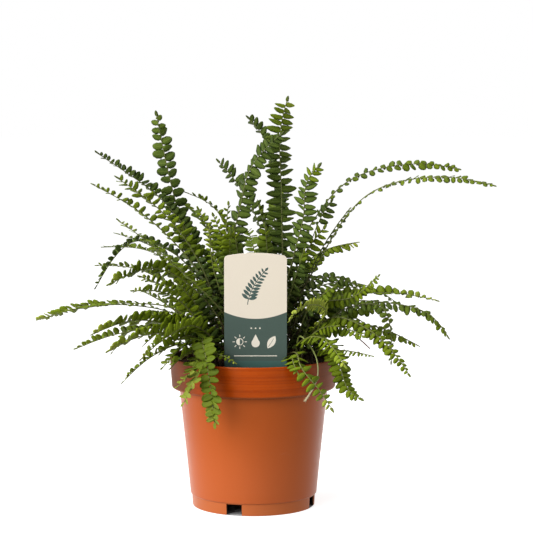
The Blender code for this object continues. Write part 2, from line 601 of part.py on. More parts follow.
def matched(root, verts, ring):
    """The root's four corners, in the order that lies nearest to a ring's own four."""
    corners = np.array([verts[k] for k in root])
    own = corners - corners.mean(axis=0)
    other = ring - ring.mean(axis=0)
    shift = max(range(4), key=lambda s: (np.roll(own, -s, axis=0) * other).sum())
    return list(np.roll(root, -shift))


def bear_leaflets(blades, fixed):
    """Gives each frond its leaflets. One that would cross a neighbour is turned or made shorter, or is left out."""
    trees = [blade.tree() for blade in blades]
    for own, blade in enumerate(blades):
        others = fixed + trees[:own] + trees[own + 1 :]
        for pair in range(blade.pairs):
            for hand in (-1, 1):
                for tilt, scale in LEAFLET_TRIES:
                    rim = blade.leaflet_rim(pair, hand, tilt, scale)
                    room = blade.room(pair, hand, rim)
                    if blade.crowds(pair, hand, rim) or any(room.overlap(other) for other in others):
                        continue
                    blade.borne[pair, hand] = rim
                    if not blade.crosses_itself():
                        break
                    del blade.borne[pair, hand]
        trees[own] = blade.tree()


def tube(name, points, radii, steps, finish):
    """A four-sided tapering stem through the points, from its foot in the soil."""
    curve = smooth_path(np.array(points) * MM, start=(0, 0, 1))
    _, length = along(curve, [0])
    distances = np.linspace(0, length, steps)
    line, _ = along(curve, distances)
    bm = bmesh.new()
    rings = []
    line = np.vstack([line[0] - (0, 0, STALK_DEPTH), line])
    ways = unit(np.gradient(line, axis=0))
    ways[:2] = (0, 0, 1)
    level = unit(np.array([-(line[-1] - line[0])[1], (line[-1] - line[0])[0], 0.0]))
    for k, (point, way) in enumerate(zip(line, ways)):
        side = unit(level - (way @ level) * way)
        face = np.cross(side, way)
        radius = radii[0] + (radii[1] - radii[0]) * k / steps
        rings.append([bm.verts.new(point + radius * (a * side + b * face)) for a, b in ((-1, 1), (1, 1), (1, -1), (-1, -1))])
    for low, high in zip(rings, rings[1:]):
        for k in range(4):
            bm.faces.new((low[k], low[(k + 1) % 4], high[(k + 1) % 4], high[k]))
    bm.faces.new(rings[0])
    bm.faces.new(rings[-1])
    made = add_object(name, mesh_of(bm, name), finish)
    foot = line[1][:2]
    return made, (foot, level[:2], radii[0], radii[0])


def tree_of(made):
    mesh = made.data
    return BVHTree.FromPolygons([v.co for v in mesh.vertices], [p.vertices for p in mesh.polygons])


def make_plant():
    """Each frond, and a flat list that holds its side fronds too."""
    feet = feet_of_rings()
    parents = {shoot.parent for shoot in SHOOTS}
    fronds = [Blade(frond, feet[i], bears=i in parents) for i, frond in enumerate(FRONDS)]
    for frond in fronds:
        frond.sink()
    shoots = [fronds[shoot.parent].bear(shoot) for shoot in SHOOTS]
    return fronds, fronds + shoots


def main():
    clear_scene()
    pot = make_pot()
    label = make_label()
    runner, runner_foot = tube("runner", RUNNER, RUNNER_RADII, RUNNER_STEPS, material("runner"))
    stalk, stalk_foot = tube(
        "bare_stalk", BARE_STALK, BARE_STALK_RADII, BARE_STALK_STEPS, material("bare_stalk")
    )
    fronds, blades = make_plant()
    bear_leaflets(blades, [tree_of(made) for made in (pot, label, runner, stalk)])
    leaf = material("leaf")
    number = dict.fromkeys(RINGS, 0)
    for frond, blade in zip(FRONDS, fronds):
        number[frond.ring] += 1
        name = f"frond_{frond.ring}_{number[frond.ring]:02d}"
        mesh = bpy.data.meshes.new(name)
        verts, faces = blade.surface()
        mesh.from_pydata(verts, [], faces)
        add_object(name, mesh, leaf)
    feet = [
        (blade.points[0][:2], unit(blade.sides[0][:2]), blade.half_width[0][0], blade.half_thick[0][0])
        for blade in fronds
    ]
    make_soil(feet + [runner_foot, stalk_foot])


main()
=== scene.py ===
import random
from collections import namedtuple
from math import atan2, cos, hypot, pi, radians, sin, sqrt, tau

import bmesh
import bpy
import numpy as np
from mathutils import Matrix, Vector, noise
from mathutils.geometry import tessellate_polygon


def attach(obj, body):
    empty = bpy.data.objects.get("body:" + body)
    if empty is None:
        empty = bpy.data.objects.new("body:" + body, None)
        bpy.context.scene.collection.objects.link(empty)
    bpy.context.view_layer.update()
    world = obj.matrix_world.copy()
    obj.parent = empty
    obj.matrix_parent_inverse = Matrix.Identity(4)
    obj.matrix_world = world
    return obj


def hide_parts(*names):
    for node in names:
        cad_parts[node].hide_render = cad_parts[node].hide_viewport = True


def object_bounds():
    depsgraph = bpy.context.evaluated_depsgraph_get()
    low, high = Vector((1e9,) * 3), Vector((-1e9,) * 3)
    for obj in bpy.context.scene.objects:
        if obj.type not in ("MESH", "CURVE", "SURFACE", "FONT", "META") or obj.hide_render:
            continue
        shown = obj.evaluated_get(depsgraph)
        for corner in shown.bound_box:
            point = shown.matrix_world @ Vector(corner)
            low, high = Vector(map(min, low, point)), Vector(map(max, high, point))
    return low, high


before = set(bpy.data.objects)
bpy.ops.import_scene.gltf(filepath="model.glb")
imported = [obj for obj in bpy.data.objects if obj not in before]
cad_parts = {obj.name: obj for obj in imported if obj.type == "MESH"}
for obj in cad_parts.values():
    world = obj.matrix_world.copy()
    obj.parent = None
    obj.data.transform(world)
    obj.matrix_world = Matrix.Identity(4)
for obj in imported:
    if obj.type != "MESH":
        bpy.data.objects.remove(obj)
cad_low, cad_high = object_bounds()

# ----------------
# The studio: a white sweep that the pot stands on, an even white surround, one large soft
# light from the left front and above, a small one overhead and one that lifts the right edge.
MM = 0.001


def math_node(operation, swapped=False):
    """An operator of Wire, which adds a Math node. Swapped, it is the reflected form."""
    def apply(self, other):
        first, second = (other, self) if swapped else (self, other)
        return self.nodes.node("Math", {"operation": operation}, {0: first, 1: second})
    return apply


class Wire:
    """One value of a shader. Python's operators on it add the Math nodes."""

    __add__, __radd__ = math_node("ADD"), math_node("ADD", True)
    __sub__, __rsub__ = math_node("SUBTRACT"), math_node("SUBTRACT", True)
    __mul__, __rmul__ = math_node("MULTIPLY"), math_node("MULTIPLY", True)
    __truediv__, __pow__ = math_node("DIVIDE"), math_node("POWER")

    def __init__(self, nodes, socket):
        self.nodes, self.socket = nodes, socket

    def __abs__(self):
        return self.nodes.node("Math", {"operation": "ABSOLUTE"}, {0: self})

    def ramp(self, low, high):
        """0 below low and 1 above high, smooth between. With low above high it falls instead."""
        ends = {"From Min": min(low, high), "From Max": max(low, high)}
        rise = self.nodes.node("MapRange", {"interpolation_type": "SMOOTHSTEP"}, {"Value": self, **ends})
        return rise if low < high else 1 - rise


class Nodes:
    """The nodes of a material or of the surround, in the making."""

    def __init__(self, tree):
        self.tree = tree

    def node(self, kind, settings, sockets, out=0):
        """Adds a node of any type: its settings first, then the values or links of its sockets."""
        made = self.tree.nodes.new("ShaderNode" + kind)
        for name, value in settings.items():
            setattr(made, name, value)
        for name, value in sockets.items():
            if isinstance(value, Wire):
                self.tree.links.new(value.socket, made.inputs[name])
            else:
                made.inputs[name].default_value = value
        return Wire(self, made.outputs[out])


class Finish(Nodes):
    """A material in the making, with its Principled shader."""

    def __init__(self, name, roughness, **constants):
        self.made = bpy.data.materials.new(name)
        self.made.use_nodes = True
        super().__init__(self.made.node_tree)
        self.shader = self.tree.nodes["Principled BSDF"]
        self.shader.inputs["Roughness"].default_value = roughness
        for socket, value in constants.items():
            self.shader.inputs[socket.replace("_", " ")].default_value = value

    def place(self):
        """Where a point of the surface is, in metres."""
        return self.node("TexCoord", {}, {}, "Object")

    def parts(self, vector):
        return [self.node("SeparateXYZ", {}, {0: vector}, axis) for axis in "XYZ"]

    def noise(self, where, size, detail=2.0, rough=0.5):
        """A cloudy value from 0 to 1 with spots of the given size in metres."""
        sockets = {"Vector": where, "Scale": 1 / size, "Detail": detail, "Roughness": rough}
        return self.node("TexNoise", {}, sockets)

    def stretched(self, where, by):
        return self.node("VectorMath", {"operation": "MULTIPLY"}, {0: where, 1: by})

    def blend(self, share, first, second):
        """A colour between two, by their share."""
        ends = [value if isinstance(value, Wire) else (*value, 1) for value in (first, second)]
        settings = {"data_type": "RGBA", "clamp_factor": True}
        return self.node("Mix", settings, {0: share, 6: ends[0], 7: ends[1]}, 2)

    def coats(self, colour, *coats):
        """A colour with others over it, each as far as its mask says."""
        for mask, coat in coats:
            colour = self.blend(mask, colour, coat)
        return colour

    def show(self, **sockets):
        for name, value in sockets.items():
            self.tree.links.new(value.socket, self.shader.inputs[name.replace("_", " ")])

    def bump(self, height, distance, strength=1.0):
        sockets = {"Height": height, "Distance": distance, "Strength": strength}
        self.show(Normal=self.node("Bump", {}, sockets))


def circle(radius, steps, x=0, y=0):
    """Points round a circle, in the order in which a turn grows."""
    turns = [tau * k / steps for k in range(steps)]
    return [(x + radius * cos(turn), y + radius * sin(turn)) for turn in turns]


def mesh_of(name, points, faces, crease=None):
    """A mesh of points in mm. With a crease, only edges bent more than that (degrees) look sharp."""
    made = bpy.data.meshes.new(name)
    made.from_pydata((np.array(points, float) * MM).tolist(), [], faces)
    if crease:
        made.shade_smooth()
        made.set_sharp_from_angle(angle=radians(crease))
    return made


def add_piece(name, mesh, finishes, slot=None, node=None):
    """Links a mesh as a piece of the object that rides on the pot and may stand for a node."""
    piece = bpy.data.objects.new(name, mesh)
    bpy.context.scene.collection.objects.link(piece)
    for finish in finishes:
        mesh.materials.append(finish.made)
    if slot:
        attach(piece, "root")
    if node:
        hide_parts(node)
    return piece


scene = bpy.context.scene
scene.view_settings.view_transform = "Standard"

world = bpy.data.worlds.new("surround")
scene.world = world
world.use_nodes = True
surround = world.node_tree.nodes["Background"]
surround.inputs["Color"].default_value = (1, 1, 1, 1)
sky = Nodes(world.node_tree)
FOR_LIGHT, FOR_GLOSS, FOR_CAMERA = 0.36, 0.16, 1.0  # how bright the surround is to each kind of ray
glossy, direct = (sky.node("LightPath", {}, {}, f"Is {ray} Ray") for ray in ("Glossy", "Camera"))
lighting = sky.node("Mix", {}, {"Factor": glossy, "A": FOR_LIGHT, "B": FOR_GLOSS})
strength = sky.node("Mix", {}, {"Factor": direct, "A": lighting, "B": FOR_CAMERA})
sky.tree.links.new(strength.socket, surround.inputs["Strength"])

GREY, WHITE = (0.5, 0.5, 0.5, 1), (1, 1, 1, 1)
paper = Finish("white_sweep", 0.9, Base_Color=GREY, Emission_Color=WHITE, Emission_Strength=0.82)
SWEEP_HALF = 6000
corners = [(x * SWEEP_HALF, y * SWEEP_HALF, 0) for x, y in ((-1, -1), (1, -1), (1, 1), (-1, 1))]
sheet = add_piece("sweep", mesh_of("sweep", corners, [(0, 1, 2, 3)]), [paper])
sheet.visible_diffuse = False

spot = mesh_of("spot", [(x, y, 0.01) for x, y in circle(43.5, 96)], [tuple(range(96))])
add_piece("spot", spot, [Finish("under_pot", 0.9, Base_Color=GREY)])


def add_light(name, place, target, wide, high, power):
    lamp = bpy.data.lights.new(name, "AREA")
    lamp.shape = "RECTANGLE"
    lamp.size, lamp.size_y = wide, high
    lamp.energy = power
    holder = bpy.data.objects.new(name, lamp)
    holder.location = place
    holder.rotation_euler = (Vector(target) - Vector(place)).to_track_quat("-Z", "Y").to_euler()
    scene.collection.objects.link(holder)


add_light("key", (-1.2, -1.05, 0.85), (0, 0, 0.12), 2.0, 1.6, 50)
add_light("overhead", (-0.3, 0.1, 1.5), (0, 0, 0.2), 0.6, 0.6, 14)
add_light("edge", (1.3, 0.2, 0.4), (0, 0, 0.12), 0.3, 1.0, 3)

camera = bpy.data.objects.new("camera", bpy.data.cameras.new("camera"))
scene.collection.objects.link(camera)
camera.location = (9.3 * MM, -1530 * MM, 333 * MM)
camera.rotation_euler = (radians(84), 0, 0)
camera.data.sensor_width = 36
camera.data.lens = 145.2
scene.camera = camera

# ----------------
# The pot: a thin nursery pot, injection moulded in terracotta-coloured plastic, with a flared
# collar, a foot ring with four notches, and four drain holes in its raised floor.
NOTCH_HALF = radians(7.44)
NOTCH_TOP = 8.1
NOTCH_ANGLES = [radians(-108 + 90 * k) for k in range(4)]
NOTCH_STEPS, WALL_STEPS = 4, 32  # across a notch, and from one notch to the next
QUARTER = NOTCH_STEPS + WALL_STEPS
FLOOR_LOW, FLOOR_TOP = 8.4, 9.9
DRAIN_RADIUS, DRAIN_SIDES, DRAIN_RING = 3.5, 28, 33
POT_OUTSIDE = [  # radius, height, from the floor's edge down round the foot and up to the lip
    (43.0, 8.4), (42.98, NOTCH_TOP), (42.6, 1.0), (42.62, 0.35), (42.85, 0.05), (43.0, 0.0), (43.6, 0.0),
    (43.85, 0.08), (44.0, 0.35), (44.04, 1.0), (44.46, NOTCH_TOP), (44.5, 8.35), (44.62, 8.52), (45.15, 8.75),
    (45.38, 9.0), (45.5, 9.6), (47.4, 29.0), (49.5, 49.0), (51.5, 68.0), (53.2, 84.6), (53.42, 85.6),
    (53.7, 85.95), (54.2, 86.0), (57.9, 86.0), (58.35, 86.1), (58.58, 86.4), (58.66, 87.0), (59.3, 96.0),
    (59.84, 104.4), (60.0, 106.9), (59.93, 107.45), (59.68, 107.85), (59.35, 108.0), (58.95, 108.0),
    (58.62, 107.85), (58.48, 107.5), (58.4, 106.8), (57.2, 88.6), (57.0, 87.9), (56.5, 87.5), (52.4, 87.5),
    (51.9, 87.2), (51.7, 86.4), (43.9, 10.4), (43.6, 9.95), (43.2, FLOOR_TOP),
]
FOOT_ROWS = (1, 10)  # the rows at the notches' top, inside and outside


def bands(rows, sides, first=0):
    """Quads from each ring of points to the next, from the first point on."""
    return [
        (low + k, low + (k + 1) % sides, low + sides + (k + 1) % sides, low + sides + k)
        for low in range(first, first + (rows - 1) * sides, sides)
        for k in range(sides)
    ]


def pot_mesh():
    """The outline turned round, with the notches cut out of its foot and the floor filled in."""
    turns, free = [], tau / 4 - 2 * NOTCH_HALF
    for middle in NOTCH_ANGLES:
        turns += [middle + NOTCH_HALF * k / 2 for k in range(-2, 2)]
        turns += [middle + NOTCH_HALF + free * k / WALL_STEPS for k in range(WALL_STEPS)]
    sides, rows = len(turns), len(POT_OUTSIDE)
    verts = [(r * cos(turn), r * sin(turn), z) for r, z in POT_OUTSIDE for turn in turns]
    inside, outside = FOOT_ROWS
    faces = []
    for k, face in enumerate(bands(rows, sides)):
        if not (inside <= k // sides < outside and k % QUARTER < NOTCH_STEPS):
            faces.append(face)
    for first in range(0, sides, QUARTER):
        for k in range(first, first + NOTCH_STEPS):
            low, high = inside * sides + k, outside * sides + k
            faces.append((low, low + 1, high + 1, high))
        for k, way in ((first, 1), (first + NOTCH_STEPS, -1)):
            cheek = [row * sides + k for row in range(inside, outside + 1)]
            faces.append(tuple(cheek[::way]))
    # The floor's two faces have four holes, whose walls join them.
    drains = [
        circle(DRAIN_RADIUS, DRAIN_SIDES, DRAIN_RING * cos(middle), DRAIN_RING * sin(middle))
        for middle in NOTCH_ANGLES
    ]
    for z, row, up in ((FLOOR_LOW, 0, False), (FLOOR_TOP, rows - 1, True)):
        ids = list(range(row * sides, (row + 1) * sides))
        loops = [[Vector(verts[k]) for k in ids]]
        for drain in drains:
            ids += range(len(verts), len(verts) + DRAIN_SIDES)
            verts += [(x, y, z) for x, y in drain]
            loops.append([Vector((x, y, z)) for x, y in drain])
        for corners in tessellate_polygon(loops):
            face = tuple(ids[i] for i in corners)
            a, b, c = (Vector(verts[k]) for k in face)
            faces.append(face if ((b - a).cross(c - a).z > 0) == up else face[::-1])
    rise = len(drains) * DRAIN_SIDES  # from a point of the lower face's holes to the upper face's
    for low in range(len(verts) - 2 * rise, len(verts) - rise, DRAIN_SIDES):
        for k in range(DRAIN_SIDES):
            a, b = low + k, low + (k + 1) % DRAIN_SIDES
            faces.append((a, a + rise, b + rise, b))
    return mesh_of("pot", verts, faces, 35)


# Terracotta plastic: satin, with faint moulding rings, a more orange collar streaked with painted sheen, and
# pale scuffs. Painted shade darkens the collar's two ends, where there is also some soil dust, a band just
# under the collar, and the insides of the collar and the foot; painted light makes the body paler towards the
# foot.
plastic = Finish("pot_plastic", 0.4, Specular_IOR_Level=0.2, Specular_Tint=(1.0, 0.8, 0.38, 1))
where = plastic.place()
sideways, depthways, height = plastic.parts(where)
rings = plastic.noise(plastic.stretched(where, (6, 6, 900)), 1.0, 3)
scuff = plastic.noise(plastic.stretched(where, (1, 1, 4)), 16 * MM, 5, 0.65)
cloud = plastic.noise(where, 60 * MM, 2)
collar = height.ramp(86.2 * MM, 87.6 * MM)
body = plastic.coats(
    plastic.blend(cloud * 0.55, (0.455, 0.086, 0.015), (0.39, 0.067, 0.010)),
    # Painted light: the body grows paler towards the foot.
    (height.ramp(75 * MM, 10 * MM) * 0.5, (0.57, 0.130, 0.042)),
    # Painted shade: a dark band just under the collar.
    (height.ramp(83.6 * MM, 85.6 * MM) * 0.6, (0.15, 0.030, 0.008)),
)
# The collar's deeper orange, streaked along the moulding rings with painted sheen.
lip = plastic.blend(rings.ramp(0.3, 0.75) * 0.8, (0.47, 0.062, 0.002), (0.33, 0.036, 0.002))
# Painted shade with some dust: the collar's left and right ends, as seen from the front, darker and rougher.
collar_end_dust_and_shade = abs(sideways / (60 * MM)).ramp(0.5, 0.85) * collar * (0.65 + cloud.ramp(0.3, 0.7) * 0.3)
radius = (sideways * sideways + depthways * depthways) ** 0.5
foot = height.ramp(9.0 * MM, 8.6 * MM)
colour = plastic.coats(
    body,
    (collar, lip),
    # Painted shade, with some dust, at the collar's two ends.
    (collar_end_dust_and_shade, (0.11, 0.034, 0.014)),
    # Painted shade: the collar's inside, above the soil, darkened.
    (radius.ramp(58.7 * MM, 58.3 * MM) * height.ramp(86 * MM, 88 * MM), (0.050, 0.022, 0.012)),
    # Painted light: the foot ring paler.
    (foot * 0.4, (0.50, 0.15, 0.05)),
    # Painted shade: the inside of the foot ring and the floor's underside darkened.
    (foot * radius.ramp(43.7 * MM, 43.4 * MM), (0.03, 0.014, 0.010)),
    (scuff.ramp(0.62, 0.80) * 0.22, (0.46, 0.20, 0.11)),
)
plastic.show(Base_Color=colour, Roughness=0.26 + scuff * 0.12 + collar * -0.04 + collar_end_dust_and_shade * 0.35)
plastic.bump(rings * (0.25 + collar * 0.75) + scuff * 0.3, 0.05 * MM, 0.35)
add_piece("nursery_pot", pot_mesh(), [plastic], "pot", "pot")

# ----------------
# The potting soil: dark peat with crumbs and bits of fibre, filled into the pot and mounded a
# little towards the middle. Its side and bottom lie against the pot.
SOIL_RADIUS, SOIL_TOP, SOIL_FALL = 56.5, 105.2, 3.9  # the top falls this far to its edge
SOIL_SIDE = [(43.3, 10.2), (51.3, 87.8), (SOIL_RADIUS, 87.8), (SOIL_RADIUS, 100.2)]
SOIL_TURNS, SOIL_ROWS = 168, 54
SOIL_LUMPS = {11: 0.8, 4.1: 0.75, 1.7: 0.55}  # how wide, and how high
CRUMBS, FIBRE_SHARE, CRUMB_SIDES = 420, 0.22, 6


def unit(vectors):
    return vectors / np.linalg.norm(vectors, axis=-1, keepdims=True)


def soil_height(x, y):
    """The crumbly top: the mound, with lumps of three sizes, lower at the very edge."""
    r = hypot(x, y)
    mound = SOIL_TOP - SOIL_FALL * (r / SOIL_RADIUS) ** 2
    lumps = sum(high * noise.noise(Vector((x, y, 0)) / wide) for wide, high in SOIL_LUMPS.items())
    return mound + lumps * min(1, (SOIL_RADIUS + 1 - r) / 3)


def soil_mesh():
    verts = [(x, y, z) for r, z in SOIL_SIDE for x, y in circle(r, SOIL_TURNS)]
    for row in range(SOIL_ROWS):
        ring = circle(SOIL_RADIUS * (1 - row / SOIL_ROWS), SOIL_TURNS)
        verts += [(x, y, soil_height(x, y)) for x, y in ring]
    faces = bands(len(SOIL_SIDE) + SOIL_ROWS, SOIL_TURNS)
    last = len(verts) - SOIL_TURNS
    faces += [(last + k, last + (k + 1) % SOIL_TURNS, len(verts)) for k in range(SOIL_TURNS)]
    faces.append(tuple(range(SOIL_TURNS))[::-1])
    verts.append((0, 0, soil_height(0, 0)))
    # Crumbs lie half sunk in the top, and short fibres among them.
    rng = random.Random(7)
    for _ in range(CRUMBS):
        r, t = 55 * sqrt(rng.random()), rng.uniform(0, tau)
        x, y = r * cos(t), r * sin(t)
        fibre = rng.random() < FIBRE_SHARE
        long, thick = (rng.uniform(2.5, 6), rng.uniform(0.14, 0.26)) if fibre else (rng.uniform(0.5, 1.3), 0)
        axis = np.array([cos(5 * t), sin(5 * t), rng.uniform(-0.15, 0.25)])
        axis, cross = unit(axis), unit(np.cross(axis, (0, 0, 1)))
        third = np.cross(axis, cross)
        wide, tall = (thick, thick) if fibre else (long * rng.uniform(0.6, 0.9), long * rng.uniform(0.5, 0.8))
        middle = np.array([x, y, soil_height(x, y) + (0.15 if fibre else 0.25 * long)])
        base = len(verts)
        for along, scale in ((-1, 0.35), (-0.45, 0.95), (0.4, 1), (1, 0.4)):
            for k in range(CRUMB_SIDES):
                turn = tau * k / CRUMB_SIDES + 0.4 * along
                swell = scale * (1 if fibre else rng.uniform(0.8, 1.15))
                reach = cross * cos(turn) * wide * swell + third * sin(turn) * tall * swell
                verts.append(tuple(middle + axis * along * long + reach))
        ring = range(CRUMB_SIDES)
        faces += bands(4, CRUMB_SIDES, base)
        faces += [tuple(base + k for k in ring)[::-1], tuple(base + 3 * CRUMB_SIDES + k for k in ring)]
    return mesh_of("soil", verts, faces, 50)


# Moist peat: very dark brown with redder fibre and paler specks, quite matt.
peat = Finish("peat", 0.9, Specular_IOR_Level=0.25)
where = peat.place()
grain = peat.noise(where, 1.6 * MM, 5, 0.7)
clod = peat.noise(where, 7 * MM, 3)
colour = peat.blend(clod.ramp(0.35, 0.7), (0.022, 0.009, 0.005), (0.062, 0.022, 0.010))
peat.show(Base_Color=peat.blend(grain.ramp(0.62, 0.72) * 0.6, colour, (0.15, 0.07, 0.035)))
peat.bump(grain + clod, 0.5 * MM, 0.8)
add_piece("potting_soil", soil_mesh(), [peat], "soil", "soil")

# ----------------
# The fronds: a fern's leaves, each a wiry stalk out of the soil that becomes the frond's rib,
# with two rows of round leaflets that grow smaller and yellower towards the tip.
STALK_FOOT_Z = 104
HEADING_SHARE = 0.5
SHOOT_RISE = 5
STALK_LEAST = 9
RIB_SIDES = 6
EARLY_TURN, LATE_TURN, LATE_LEAN = (0.0, 0.4), (0.4, 0.7), 20
BROAD = 10  # a frond with longer leaflets than this stays broad to its tip

# A frond's points after its foot (mm), its longest leaflet (mm), how far its face turns to the front
# (degrees), its youth: 0 dark and grown, 1 fresh yellow-green, the leaflets' pitch (mm) and width by
# length, the stalk's bare share, how far leaflets hang and lean to the tip (degrees), and the frond's
# end: slim, blunt or lime, or left to the leaflets' size.
Frond = namedtuple(
    "Frond", "points leaflet turn youth pitch plump bare hang lean end", defaults=[0.73, 0.15, 16, 8, ""]
)
# The stalks stand in rings: each ring's radius (mm) and its number of fronds, in the order of the list.
RINGS = {"heart": (8, 6), "inner": (18, 12), "outer": (28, 16), "skirt": (38, 21)}
FRONDS = [Frond(*row) for row in [
    ([(20, -2, 170), (20, 0, 220), (21, 3, 280), (25, 4, 294)], 11, 85, 0.1, 5.3, 0.46, 0.25, 12, 8, "lime"),
    ([(-15, -12, 190), (-9, -14, 217), (-3, -16, 241), (22, -20, 270)], 9.5, 75, -0.25, 5, 0.6, 0.25, 14),
    ([(17, 14, 200), (13, 20, 240), (5, 24, 267), (-6, 26, 279)], 9.5, 85, -0.25, 4.8, 0.62, 0.25, 14),
    ([(8, 28, 187), (0, 32, 209), (-14, 36, 232), (-28, 40, 247)], 9.5, 85, -0.2, 4.8, 0.48, 0.3, 14),
    ([(-16, 2, 190), (-28, 2, 214), (-51, 2, 226)], 7.5, 15, 0.2, 4.8, 0.6, 0.25, 14),
    ([(12, 12, 180), (2, 14, 219)], 9, 65, 0.1, 5, 0.6, 0.2, 14),
    ([(-53, -4, 210), (-59, -6, 234), (-69, -8, 284)], 8.5, 82, 0.05, 6.6, 0.8, 0.32, 12),
    ([(-66, -10, 222), (-94, -20, 244), (-111, -28, 256)], 8, 25, -0.25, 4, 0.62, 0.25, 12, 8, "slim"),
    ([(-72, -30, 208), (-112, -50, 235)], 7, 20, 0.2, 5.4, 0.7, 0.25, 12),
    ([(42, 8, 203), (66, 14, 231), (110, 22, 244), (151, 30, 240)], 6, 45, 0.14, 6.4, 0.9, 0.35, 4, 34),
    ([(45, -8, 174), (82, -20, 226), (132, -44, 239), (167, -60, 234)], 5.5, 28, 0.2, 5.8, 0.9, 0.3, 4, 34),
    ([(47, 26, 179), (78, 42, 186)], 7, 10, 0.5, 4.2, 0.65, 0.25, 35, 8, "blunt"),
    ([(29, -20, 184), (35, -22, 208), (39, -24, 237), (48, -26, 248)],
     9.5, 82, -0.1, 4.7, 0.5, 0.25, 14, 8, "lime"),
    ([(-29, -30, 180), (-31, -36, 206)], 4, 60, 0.55, 4.1, 0.6, 0.5, 14),
    ([(28, -10, 168), (52, -16, 204)], 9.5, 70, 0.15, 5.4, 0.5, 0.2, 14),
    ([(-32, -12, 165), (-52, -20, 202)], 8, 60, 0.3, 5.6, 0.62, 0.2, 14),
    ([(12, 38, 190), (24, 70, 226)], 8.5, 30, 0.1, 4.9, 0.6, 0.25, 14),
    ([(-30, 38, 190), (-55, 72, 214)], 8.5, 20, 0.1, 4.9, 0.6, 0.25, 14),
    ([(-62, -30, 212), (-84, -40, 231), (-96, -47, 240)], 9, 25, 0.25, 5, 0.5, 0.25, 4),
    ([(-62, -56, 186), (-93, -78, 213)], 8, 5, 0.4, 4.6, 0.5, 0.25, 6),
    ([(-69, 36, 180), (-104, 50, 192)], 7.5, 5, 0.14, 4.4, 0.55, 0.25, 14),
    ([(-77, 52, 178), (-115, 72, 179)], 7, 0, 0.2, 4.4, 0.59, 0.25, 14),
    ([(-56, -8, 182), (-81, -14, 192), (-112, -22, 158)], 7, 20, 0.05, 4.8, 0.75, 0.25, 25),
    ([(-82, 16, 168), (-116, 26, 170)], 7, 20, 0.25, 4.8, 0.73, 0.25, 14),
    ([(-71, -48, 176), (-100, -70, 166)], 8, 45, 0.42, 4.6, 0.75, 0.2, 14),
    ([(-56, 6, 140), (-88, 22, 143), (-164, 70, 124)], 6.5, 35, 0.45, 5.4, 0.9, 0.2, 4, 30),
    ([(-54, -24, 140), (-86, -38, 149), (-132, -61, 147)], 5.5, 0, 0.4, 4.8, 0.72, 0.2, 8, 35),
    ([(52, -8, 144), (93, -14, 148), (126, -20, 139), (139, -25, 123)],
     7.5, 20, 0.12, 4.5, 0.75, 0.2, 14, 20),
    ([(52, 18, 144), (92, 28, 150), (137, 44, 142)], 7.5, 20, 0.5, 6.2, 0.8, 0.2, -25),
    ([(42, -24, 148), (69, -34, 154), (88, -48, 172)], 6, 60, 0.3, 3.7, 0.72, 0.2, 14),
    ([(30, 8, 154), (55, 14, 163), (82, 20, 152)], 7.5, 30, 0.08, 4.8, 0.8, 0.25, -5),
    ([(0, 62, 178), (-6, 103, 190)], 7.5, 0, 0.15, 5.1, 0.64, 0.25, 14),
    ([(-45, 62, 162), (-85, 100, 160)], 7.5, 0, 0.15, 5.1, 0.64, 0.25, 14),
    ([(44, 50, 150), (84, 76, 150), (112, 92, 132)], 7.5, 0, 0.15, 5.1, 0.64, 0.25, 14),
    ([(-60, -60, 160), (-83, -84, 164)], 7, 35, 0.4, 4.4, 0.73, 0.2),
    ([(-79, -50, 140), (-111, -78, 133)], 8, 35, 0.5, 4.6, 0.75, 0.2, 18),
    ([(-56, 4, 126), (-92, 6, 124), (-130, 6, 111)], 7.5, 20, 0.4, 4.8, 0.75, 0.15, 25),
    ([(-71, -62, 132), (-100, -86, 122)], 8, 40, 0.52, 4.4, 0.75, 0.2),
    ([(-40, -52, 136), (-57, -77, 133), (-76, -102, 119)], 8.5, 45, 0.5, 4.4, 0.62, 0.15, 16, 8, "slim"),
    ([(-52, -14, 118), (-70, -26, 112), (-93, -38, 93)], 6.5, 25, 0.4, 4.4, 0.73, 0.15, 20),
    ([(-44, -40, 122), (-64, -58, 106)], 7.5, 20, 0.45, 4.1, 0.73, 0.2),
    ([(-33, -50, 115), (-39, -68, 102), (-49, -75, 83)], 8, 10, 0.75, 4.2, 0.6, 0.15, 10),
    ([(-35, -51, 127), (-32, -66, 114), (-30, -69, 102), (-26, -69, 67)], 8, 0, 0.48, 4.6, 0.75, 0.15, 10),
    ([(30, -49, 117), (33, -61, 109), (46, -66, 93), (56, -68, 78)],
     8.5, 15, 0.5, 4.8, 0.56, 0.3, 10, 8, "slim"),
    ([(55, -35, 120), (60, -46, 109), (67, -54, 91), (77, -58, 85)],
     9, 25, 0.35, 4.1, 0.68, 0.15, 12, 8, "slim"),
    ([(58, -44, 118), (84, -60, 116)], 5, 10, 0.3, 3.4, 0.6, 0.2, 20),
    ([(60, -34, 140), (83, -46, 131), (109, -62, 102)], 6.5, 30, 0.25, 4.6, 0.75, 0.2, 20),
    ([(56, 14, 130), (88, 22, 126), (122, 30, 110)], 7.5, 20, 0.35, 4.6, 0.75, 0.15, 20),
    ([(50, -46, 147), (43, -60, 152), (32, -72, 151), (24, -80, 142)],
     5, 60, 1, 2.5, 0.7, 0.2, 0, 8, "blunt"),
    ([(46, -64, 130), (64, -90, 112)], 7.5, 20, 0.45, 4.4, 0.73, 0.2),
    ([(-37, -44, 119), (-48, -57, 116), (-58, -64, 107)], 8.5, 35, 0.42, 4.2, 0.75, 0.15, 12),
    ([(-18, 70, 132), (-30, 103, 97)], 7.5, 0, 0.35, 4.8, 0.73, 0.15, 14),
    ([(32, 68, 132), (56, 99, 97)], 7.5, 0, 0.35, 4.8, 0.73, 0.15, 14),
    ([(-70, 42, 132), (-108, 70, 98)], 7.5, 0, 0.3, 4.8, 0.73, 0.15, 14),
    ([(66, 40, 132), (104, 60, 98)], 7.5, 0, 0.3, 4.8, 0.73, 0.15, 14),
]]
